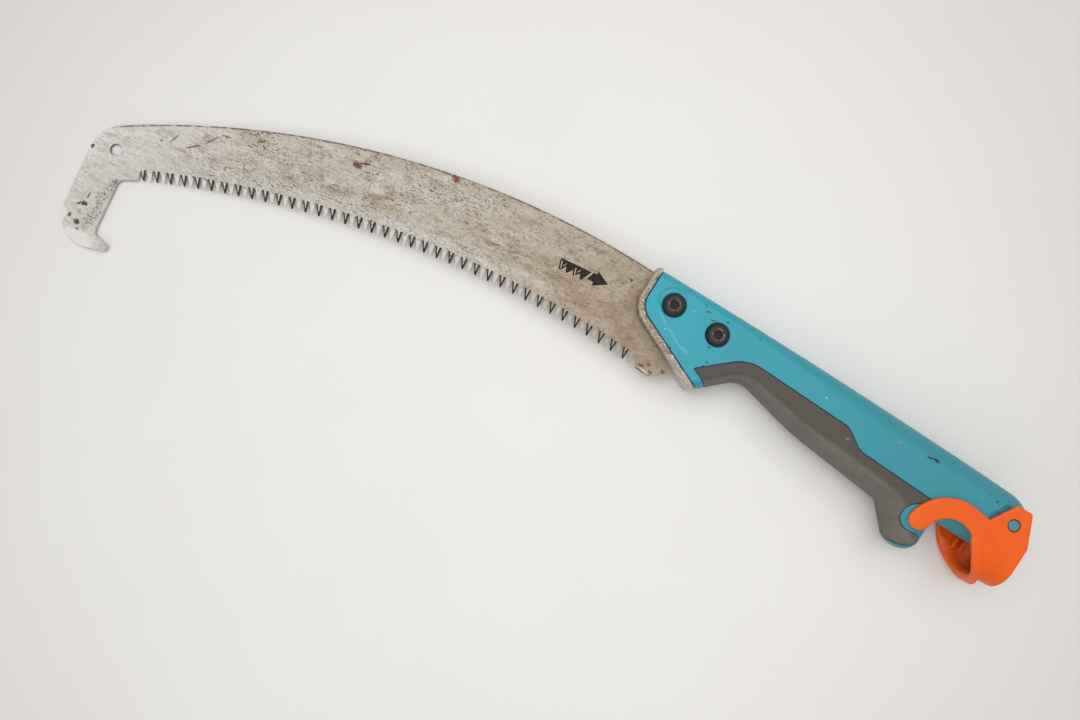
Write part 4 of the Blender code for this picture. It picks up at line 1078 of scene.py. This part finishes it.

# Colours of the handle by X, of the bolster by |Z|, of a bolt and of the table by distance from the middle
# Teal by X: darker towards the rear, which is painted shade
TEAL_SHADED_TO_REAR = ((-230, (50, 168, 188)), (-170, (54, 159, 175)), (-80, (58, 148, 162)), (15, (60, 142, 157)))
# Bolster by |Z|: brown dirt towards the blade, and a bright crest band that is worn metal and a painted
# highlight
CASTING_BANDS = ((0.0, (120, 102, 80)), (9.6, (126, 108, 86)), (11.0, (168, 158, 140)),
                 (12.6, (196, 188, 172)), (13.5, (170, 158, 142)), (14.0, (142, 126, 112)))
# Bolt by distance from its axis: painted shade in the socket, a bright chamfer ring that is wear and a
# painted highlight, painted shade round the rim
BOLT_RINGS = ((0, (26, 23, 21)), (2.35, (28, 25, 23)), (2.6, (122, 118, 111)), (3.15, (158, 155, 148)),
              (3.5, (70, 66, 62)), (5.2, (58, 54, 50)), (6.2, (42, 39, 36)), (6.6, (34, 31, 29)))
# Table by distance from the middle: darker outwards, a painted light falloff
TABLE_LIGHT_FALLOFF = ((0, (239, 237, 234)), (210, (237, 235, 232)), (310, (232, 229, 226)), (420, (224, 221, 217)))


def blade_paint():
    """Bare steel, dulled and stained: brown clouds and streaks, dark specks and rust spots."""
    paint = Paint("stained_steel", 0.55, 0.0, 0.3)
    x, ramp, patches, lean = paint.x, paint.ramp, paint.patches, STEEL_LEAN
    mottle = paint.noise(1.5, 6, 0.75)
    toothed = paint.math("SUBTRACT", paint.distance(TOOTH_CENTRE), TOOTH_RADIUS)
    paint.base = paint.gradient(x, STEEL_FADE)

    # Broad tarnish, paler worn patches towards the hook and a pale band above the teeth
    paint.fleck(0.50, (150, 130, 100), 22, 0.47, 0.74, detail=6, rough=0.65, stretch=(1.7, 0.7, 1), turn=lean)
    worn = patches(13, 0.48, 0.66, detail=6, rough=0.7, stretch=(1.8, 0.6, 1), turn=lean, shift=17)
    paint.lay((226, 221, 213), worn, ramp(x, -230, -340, 0.05, 0.55))
    paint.fleck(0.50, (146, 128, 104), 7, 0.50, 0.66, detail=5, rough=0.7, stretch=(1.6, 0.7, 1), turn=lean,
                shift=43)
    paint.lay((208, 206, 200), ramp(toothed, 17, 8, 0, 0.55), ramp(x, -270, -330))
    paint.fleck(0.55, (140, 120, 92), 2.4, 0.52, 0.74, detail=5, rough=0.65, stretch=(4, 0.6, 1), turn=lean)
    paint.lay((128, 113, 92), ramp(mottle, 0.34, 0.56, 1.0, 0.0), ramp(x, -515, -470, 0.22, 0.42))

    # Stains and veins
    streaks = patches(0.9, 0.36, 0.60, 0.25, 1.0, detail=4, rough=0.7, stretch=(3.5, 0.7, 1), turn=lean,
                      shift=5)
    for strength, rgb, places in BLADE_CLOUDS:
        paint.lay(rgb, paint.spots(places, ragged=0.5), streaks, strength)
    for dab in BLADE_STAINS:
        paint.dab(*dab, ragged=0.5)
    veins = paint.math("SUBTRACT", paint.noise(9, 4, 0.6, (1.3, 0.8, 1), lean, 71), 0.5)
    paint.lay((104, 86, 62), ramp(paint.math("ABSOLUTE", veins), 0.022, 0.004),
              patches(6, 0.42, 0.58, rough=0.5, shift=91), ramp(x, -340, -270, 0.15, 0.6))

    # Specks: on the hook, then dashes and dots all over, rust and bright nicks
    paint.lay((84, 70, 56), paint.spots(HOOK_SPECKS, ragged=0.5),
              patches(1.1, 0.46, 0.58, 0, 0.75, detail=4, rough=0.65, shift=5))
    busy = paint.chain("MULTIPLY", (patches(19, 0.35, 0.62, 0.25, 1.0, rough=0.5, shift=3),
                                    ramp(x, -515, -470, 0.3, 1.0), ramp(x, -360, -260, 1.0, 0.45)))
    dashes = patches(1.05, 0.58, 0.62, 0, 0.9, stretch=(2.4, 0.85, 1), turn=DASH_LEAN, shift=31)
    paint.lay((82, 68, 50), dashes, busy)
    paint.lay((74, 60, 46), patches(0.85, 0.61, 0.645, 0, 0.9, detail=2, rough=0.5, shift=57), busy)
    paint.fleck(0.6, (172, 138, 90), 2.0, 0.65, 0.72, detail=4, rough=0.6, shift=63)
    paint.lay((232, 228, 219), patches(0.9, 0.62, 0.68, detail=2, rough=0.5, shift=83),
              ramp(x, -250, -350, 0.1, 0.55))

    # The hook's bare patches, painted shade on the hole's wall, the dark back edge and the teeth
    paint.dab(0.65, (242, 241, 239), HOOK_WHITE, ragged=0.1, grain=5)
    # Painted shade on the hang hole's wall and rim
    paint.lay((112, 104, 96), ramp(paint.distance(HANG_HOLE), HANG_HOLE_RADIUS + 0.3, HANG_HOLE_RADIUS + 0.08,
                                   0, 0.9))
    paint.lay((88, 74, 58), ramp(paint.distance(BACK_CENTRE), BACK_RADIUS - 1.3, BACK_RADIUS - 0.5),
              patches(3.5, 0.40, 0.54, 0.25, 0.9, detail=4, rough=0.6, shift=11))
    paint.lay(paint.gradient(x, PALE_TOOTH_FADE), pale_teeth(paint, toothed))
    return paint.finish(ramp(mottle, 0.3, 0.7, 0.62, 0.48), mottle, 0.04)


def pale_teeth(paint, toothed):
    """Mask of every other tooth, whose ground flanks are on the far side."""
    across = paint.math("SUBTRACT", paint.x, TOOTH_CENTRE[0])
    up = paint.math("SUBTRACT", paint.y, TOOTH_CENTRE[1])
    turn = paint.math("SUBTRACT", paint.math("ARCTAN2", up, across), TOOTH_FIRST)
    pair = paint.math("FRACT", paint.math("DIVIDE", turn, 2 * TOOTH_PITCH))
    return paint.chain("MULTIPLY", (
        paint.math("LESS_THAN", pair, 0.5),
        paint.math("GREATER_THAN", turn, 0.0),
        paint.math("LESS_THAN", turn, TOOTH_PITCH * TOOTH_COUNT),
        paint.ramp(toothed, TOOTH_DEPTH - 0.5, TOOTH_DEPTH - 2.5, 0, 0.75)))


def tooth_paint():
    """The teeth's ground flanks: dark with grime, brighter where the grinding still shows."""
    paint = Paint("ground_teeth", 0.6, 0.0, 0.1)
    grime = paint.noise(1.3, 5, 0.65)
    paint.base = paint.gradient(paint.x, FLANK_FADE)
    paint.lay((128, 114, 98), paint.ramp(grime, 0.52, 0.72, 0, 0.7))
    return paint.finish(paint.ramp(grime, 0.3, 0.7, 0.6, 0.4), grime, 0.03)


def print_paint():
    """Dark printing ink of the sign, rubbed through in specks."""
    paint = Paint("dark_print", 0.6, 0.0, 0.1)
    worn = paint.noise(1.1, 5, 0.65)
    paint.base = colour(42, 34, 28)
    paint.lay((54, 45, 38), paint.ramp(worn, 0.35, 0.6))
    paint.lay((150, 138, 122), paint.ramp(worn, 0.66, 0.74, 0, 0.6))
    return paint.finish(None, worn, 0.02)


def teal_paint():
    """Moulded plastic: a fine satin grain, darker to the rear as painted shade, with scuffs, grey grime, a
    painted highlight and shade along the panel's edge, and painted shade beside the lever's notch.
    """
    paint = Paint("teal_plastic", 0.5, 0.0, 0.3)
    cloud = paint.noise(13, 4, 0.6, (1.8, 0.8, 1))
    fine = paint.noise(0.45, 4, 0.6)
    # Darker towards the rear: painted shade
    paint.base = paint.gradient(paint.x, TEAL_SHADED_TO_REAR)
    paint.lay((62, 142, 156), paint.ramp(cloud, 0.4, 0.72, 0, 0.3))
    paint.lay((48, 128, 142), paint.ramp(fine, 0.35, 0.65, 0.22, 0.0))
    paint.fleck(0.30, (132, 190, 198), 1.1, 0.66, 0.74, stretch=(8, 0.35, 1), turn=math.radians(-9), shift=3)
    paint.fleck(0.25, (120, 180, 188), 0.9, 0.66, 0.74, stretch=(0.4, 6, 1), turn=math.radians(24), shift=29)
    paint.fleck(0.50, (52, 92, 98), 0.8, 0.71, 0.77, shift=47)
    paint.fleck(0.55, (168, 206, 210), 0.6, 0.73, 0.79, detail=2, shift=71)
    # Marks, with a painted highlight and painted shade along the panel's edge
    for mark in HANDLE_MARKS_AND_PAINTED_LIGHT:
        paint.dab(*mark)
    # Painted shade beside the lever's notch
    paint.dab(0.6, (38, 84, 98), NOTCH_SHADE, ragged=0.1, grain=4)
    return paint.finish(paint.ramp(cloud, 0.35, 0.7, 0.52, 0.44), fine, 0.02)


def rubber_paint():
    """Soft grip: matt, darker on its flat side, with painted light from the table along its rolled edges."""
    paint = Paint("grey_rubber", 0.75, 0.0, 0.25)
    cloud = paint.noise(11, 4, 0.6, (1.7, 0.8, 1))
    fine = paint.noise(0.5, 4, 0.6)
    half = paint.ramp(paint.x, *TAPER_X, FRONT_HALF, REAR_HALF)
    level = paint.math("DIVIDE", paint.math("ABSOLUTE", paint.z), half)
    paint.base = colour(90, 84, 78)
    # Lighter where |Z| falls below the flat side, on the rolled edges: painted light bounced from the table
    paint.lay((120, 115, 108), paint.ramp(level, 0.985, 0.90))
    paint.lay((84, 78, 72), paint.ramp(cloud, 0.42, 0.7, 0, 0.4))
    paint.lay((70, 65, 60), paint.ramp(fine, 0.35, 0.65, 0.25, 0.0))
    paint.fleck(0.35, (140, 136, 129), 0.8, 0.68, 0.75, shift=13)
    paint.fleck(0.30, (132, 128, 121), 1.2, 0.67, 0.75, stretch=(6, 0.4, 1), turn=math.radians(-12))
    paint.dab(0.4, (168, 164, 156), GRIP_SPECKS)
    return paint.finish(paint.ramp(cloud, 0.35, 0.7, 0.78, 0.62), fine, 0.03)


def casting_paint():
    """Worn cast metal: pitted, bright on its crest from wear and a painted highlight, with bright flecks that
    are partly painted glints, a painted sheen on its lower end and brown dirt towards the blade.
    """
    paint = Paint("worn_casting", 0.45, 0.2, 0.5)
    pits = paint.noise(1.2, 5, 0.7)
    chips = paint.noise(2.1, 5, 0.7, shift=9)
    streak = paint.patches(1.0, 0.42, 0.60, detail=4, rough=0.6, stretch=(7, 0.5, 1), turn=-FRONT_SLOPE,
                           shift=27)
    painted_sheen = paint.mix(streak, colour(160, 151, 137), colour(216, 209, 197))
    # Crest band: worn metal and a painted highlight
    paint.base = paint.gradient(paint.math("ABSOLUTE", paint.z), CASTING_BANDS)
    paint.lay((110, 92, 76), paint.ramp(chips, 0.48, 0.62, 0, 0.75))
    # Near-white flecks: partly bare metal, partly painted glints
    paint.lay((236, 226, 212), paint.ramp(pits, 0.54, 0.62, 0, 0.95))
    paint.lay((78, 62, 50), paint.ramp(pits, 0.42, 0.34, 0, 0.85))
    # Painted sheen on the bolster's lower end, which faces away from the lamps
    paint.lay(painted_sheen, paint.ramp(paint.y, -19, -24, 0, 0.75))
    return paint.finish(paint.ramp(pits, 0.35, 0.65, 0.6, 0.35), chips, 0.25)


def bolt_paint():
    """Blackened steel: grimy dome, painted shade in the socket and round the head, and the socket's rim
    bright from wear and from a painted highlight.
    """
    paint = Paint("black_steel", 0.42, 0.0, 0.18)
    grime = paint.noise(0.9, 5, 0.65)
    worn = paint.noise(2.4, shift=7)
    off = paint.chain("MINIMUM", [paint.distance(place) for place in BOLTS])
    # Painted shade in the socket and round the head's rim; the chamfer's bright ring is wear and a painted
    # highlight
    paint.base = paint.gradient(off, BOLT_RINGS)
    paint.lay((50, 46, 42), paint.ramp(worn, 0.58, 0.40, 0, 0.75))
    paint.lay((46, 41, 37), paint.ramp(grime, 0.40, 0.62, 0.55, 0.0))
    paint.fleck(0.45, (140, 132, 122), 0.8, 0.66, 0.74, shift=19)
    return paint.finish(paint.ramp(grime, 0.3, 0.7, 0.55, 0.36), grime, 0.04)


def zinc_paint():
    """Zinc plate, dulled and spotted with dirt."""
    paint = Paint("zinc_steel", 0.4, 0.85)
    grime = paint.noise(1.1, 5, 0.65)
    paint.base = colour(150, 147, 138)
    paint.lay((192, 192, 187), paint.ramp(grime, 0.35, 0.65))
    paint.fleck(0.6, (112, 100, 82), 0.9, 0.62, 0.72, shift=23)
    return paint.finish(paint.ramp(grime, 0.3, 0.7, 0.5, 0.32), grime, 0.03)


def orange_paint():
    """Moulded plastic of the lever: bright and clean, with fine grain and a little grime."""
    paint = Paint("orange_plastic", 0.36, 0.0, 0.4)
    cloud = paint.noise(12)
    fine = paint.noise(0.5, 4, 0.6)
    paint.base = colour(239, 97, 12)
    paint.lay((235, 92, 10), paint.ramp(cloud, 0.4, 0.7))
    paint.lay((222, 74, 4), paint.ramp(fine, 0.35, 0.65, 0.15, 0.0))
    paint.fleck(0.3, (250, 140, 80), 1.0, 0.68, 0.75, stretch=(6, 0.4, 1), turn=math.radians(40))
    paint.fleck(0.5, (150, 62, 30), 0.7, 0.72, 0.78, shift=37)
    return paint.finish(paint.ramp(cloud, 0.35, 0.7, 0.44, 0.34), fine, 0.015)


def table_paint(centre):
    """Pale smooth table, a little darker away from the middle as a painted light falloff, with a few specks
    of dust.
    """
    paint = Paint("pale_table", 0.7, 0.0, 0.2)
    paint.base = paint.gradient(paint.distance(centre), TABLE_LIGHT_FALLOFF)
    paint.lay((231, 228, 225), paint.patches(70, 0.35, 0.7, 0, 0.2, rough=0.5))
    paint.fleck(0.5, (150, 144, 136), 1.3, 0.77, 0.80, shift=41)
    return paint.finish()


# Boxes that hold the pieces, and the size of the cells that they are meshed with
BOLSTER_BOX = ((-236, -33, -14.5), (-170, 19, 14.5))
SHELL_BOX = ((-231, -44), (15, 20))
GRIP_BOX = ((-189, -44), (-32, 2))
LEVER_BOX = ((-50, -41, -21), (13, 11, 21))
HANDLE_REACH = 21.5
BOLT_REACH = BOLT_HEAD + 0.2
NUT_REACH = NUT_FLATS / math.sqrt(3)
SCREW_REACH = 3.6
BOLT_SPAN = (-14, 17)
NUT_SPAN = (-14, -6.5)
SCREW_SPAN = (-14, 13)
BOLSTER_CELL = 0.5
SHELL_CELL = 0.58
GRIP_CELL = 0.5
BOLT_CELL = 0.3
NUT_CELL = 0.35
SCREW_CELL = 0.3
LEVER_CELL = 0.45


def build_blade():
    hole = np.array(arc(HANG_HOLE, HANG_HOLE_RADIUS, 0, 2 * math.pi)[:-1])
    signs = [list(s) for s in SIGN]
    verts, faces, kinds = plate(blade_loops(), hole, signs, BLADE_HALF, EDGE_BREAK, GROUND_DEPTH)
    blade = make_object("saw_blade", verts, faces)
    dress(blade, blade_paint(), "saw_body", "blade")
    blade.data.materials.append(tooth_paint())
    blade.data.materials.append(print_paint())
    for face, kind in zip(blade.data.polygons, kinds):
        face.material_index = kind


def build_handle():
    teal = teal_paint()
    rubber = rubber_paint()
    bolster = field_object("cast_bolster", bolster_field(), *BOLSTER_BOX, BOLSTER_CELL)
    dress(bolster, casting_paint(), "saw_body", "bolster")
    for side, name in ((1, "left"), (-1, "right")):
        across = sorted((0, side * HANDLE_REACH))
        box = [(*corner, z) for corner, z in zip(SHELL_BOX, across)]
        shell = field_object(name + "_handle_shell", shell_field(side), *box, SHELL_CELL)
        dress(shell, teal, "saw_body", name + "_shell")
        box = [(*corner, z) for corner, z in zip(GRIP_BOX, across)]
        grip = field_object(name + "_soft_grip", grip_field(side), *box, GRIP_CELL)
        dress(grip, rubber, "saw_body", name + "_grip")


def box_round(place, reach, span):
    x, y = place
    return (x - reach, y - reach, span[0]), (x + reach, y + reach, span[1])


def build_fasteners():
    black = bolt_paint()
    zinc = zinc_paint()
    for name, place in zip(("front", "rear"), BOLTS):
        box = box_round(place, BOLT_REACH, BOLT_SPAN)
        bolt = field_object(name + "_button_bolt", bolt_field(place), *box, BOLT_CELL)
        dress(bolt, black, "saw_body", name + "_blade_bolt")
        box = box_round(place, NUT_REACH, NUT_SPAN)
        nut = field_object(name + "_hex_nut", nut_field(place), *box, NUT_CELL)
        dress(nut, zinc, "saw_body", name + "_blade_nut")
    for number, place in enumerate(SCREWS, 1):
        box = box_round(place, SCREW_REACH, SCREW_SPAN)
        screw = field_object("pan_screw_%d" % number, screw_field(place), *box, SCREW_CELL)
        dress(screw, zinc, "saw_body", "shell_screw_%d" % number)


def build_lever():
    lever = field_object("orange_lever", lever_field(), *LEVER_BOX, LEVER_CELL)
    dress(lever, orange_paint(), "lever", "locking_lever")


# View: a camera straight above the table, on which the saw lies turned and tilted. FRONT_PLACE is where
# the front top corner of the handle is, in millimetres from the point below the camera
FOCUS_PX = 800.0
IMAGE_WIDTH_PX = 1080.0
SENSOR_WIDTH = 36.0
CLIP_START = 0.01
CAMERA_HEIGHT = 470.0
SAW_TURN = math.radians(-32.5)
SAW_TILT = math.radians(2.05)
FRONT_PLACE = (70.7, 49.6, 14.2)
PIVOT_FROM_FRONT = (229.0, -18.5, 0.0)
TABLE_GAP = 0.25
TABLE_HALF = 3.0
TABLE_MIDDLE = (-60, -30, 0)
HOOK_CONTACT_X = -548.0
ARM_CONTACT = 5
WORLD_COLOUR = (1.0, 0.99, 0.975, 1)
WORLD_STRENGTH = 0.35

# Name, place and aim in millimetres over the table, size in metres, power in watts and spread
LAMPS = (
    ("key", (300, 420, 1450), (0, 0, 0), 1.3, 10, math.pi),
    ("fill", (-450, -650, 1100), (0, 0, 0), 1.2, 3.5, math.pi),
    ("side", (-300, 220, 1100), (235, -120, 10), 0.6, 0.8, math.radians(80)),
)


def table_frame():
    """Rotation and shift in millimetres that take the saw's own frame to the camera's table."""
    tilt = np.array([[math.cos(SAW_TILT), 0, -math.sin(SAW_TILT)], [0, 1, 0],
                     [math.sin(SAW_TILT), 0, math.cos(SAW_TILT)]])
    turn = np.array([[math.cos(SAW_TURN), -math.sin(SAW_TURN), 0],
                     [math.sin(SAW_TURN), math.cos(SAW_TURN), 0], [0, 0, 1]])
    rotation = turn @ tilt
    return rotation, rotation @ np.array(PIVOT_FROM_FRONT) + np.array(FRONT_PLACE)


def on_table(point):
    """World place of a point in the camera's table frame, in millimetres."""
    rotation, shift = table_frame()
    return Vector(PIVOT + rotation.T @ (np.array(point) - shift) * MM)


def build_camera():
    camera = add("camera", bpy.data.cameras.new("camera"))
    camera.data.sensor_width = SENSOR_WIDTH
    camera.data.lens = SENSOR_WIDTH * FOCUS_PX / IMAGE_WIDTH_PX
    camera.data.clip_start = CLIP_START
    turn = Matrix(table_frame()[0].T.tolist()).to_4x4()
    camera.matrix_world = Matrix.Translation(on_table((0, 0, CAMERA_HEIGHT))) @ turn
    bpy.context.scene.camera = camera


def build_table():
    """The table, just under the tips of the lever's arm and the hook."""
    tip = arm_tip()
    arm = np.array((tip[0] - ARM_CONTACT, tip[1], -LEVER_HALF - TABLE_GAP))
    hook_z = -BLADE_HALF - TABLE_GAP
    fall = math.atan2(hook_z - arm[2], arm[0] - HOOK_CONTACT_X)
    corners = ((-1, -1), (1, -1), (1, 1), (-1, 1))
    mesh = bpy.data.meshes.new("table")
    mesh.from_pydata([(x * TABLE_HALF, y * TABLE_HALF, 0) for x, y in corners], [], [(0, 1, 2, 3)])
    table = add("table", mesh)
    table.matrix_world = Matrix.Translation(Vector(PIVOT + arm * MM)) @ Matrix.Rotation(fall, 4, "Y")
    middle = table.matrix_world.inverted() @ on_table(TABLE_MIDDLE)
    mesh.materials.append(table_paint((np.array(middle) - PIVOT) / MM))


def build_lights():
    for name, place, aim, size, power, spread in LAMPS:
        data = bpy.data.lights.new(name, "AREA")
        data.spread = spread
        data.size = size
        data.energy = power
        facing = (on_table(aim) - on_table(place)).to_track_quat("-Z", "Y").to_matrix().to_4x4()
        add(name, data).matrix_world = Matrix.Translation(on_table(place)) @ facing
    world = bpy.data.worlds.new("studio")
    bpy.context.scene.world = world
    world.use_nodes = True
    background = world.node_tree.nodes["Background"]
    background.inputs["Color"].default_value = WORLD_COLOUR
    background.inputs["Strength"].default_value = WORLD_STRENGTH
    bpy.context.scene.view_settings.view_transform = "Standard"


build_blade()
build_handle()
build_fasteners()
build_lever()
build_camera()
build_table()
build_lights()
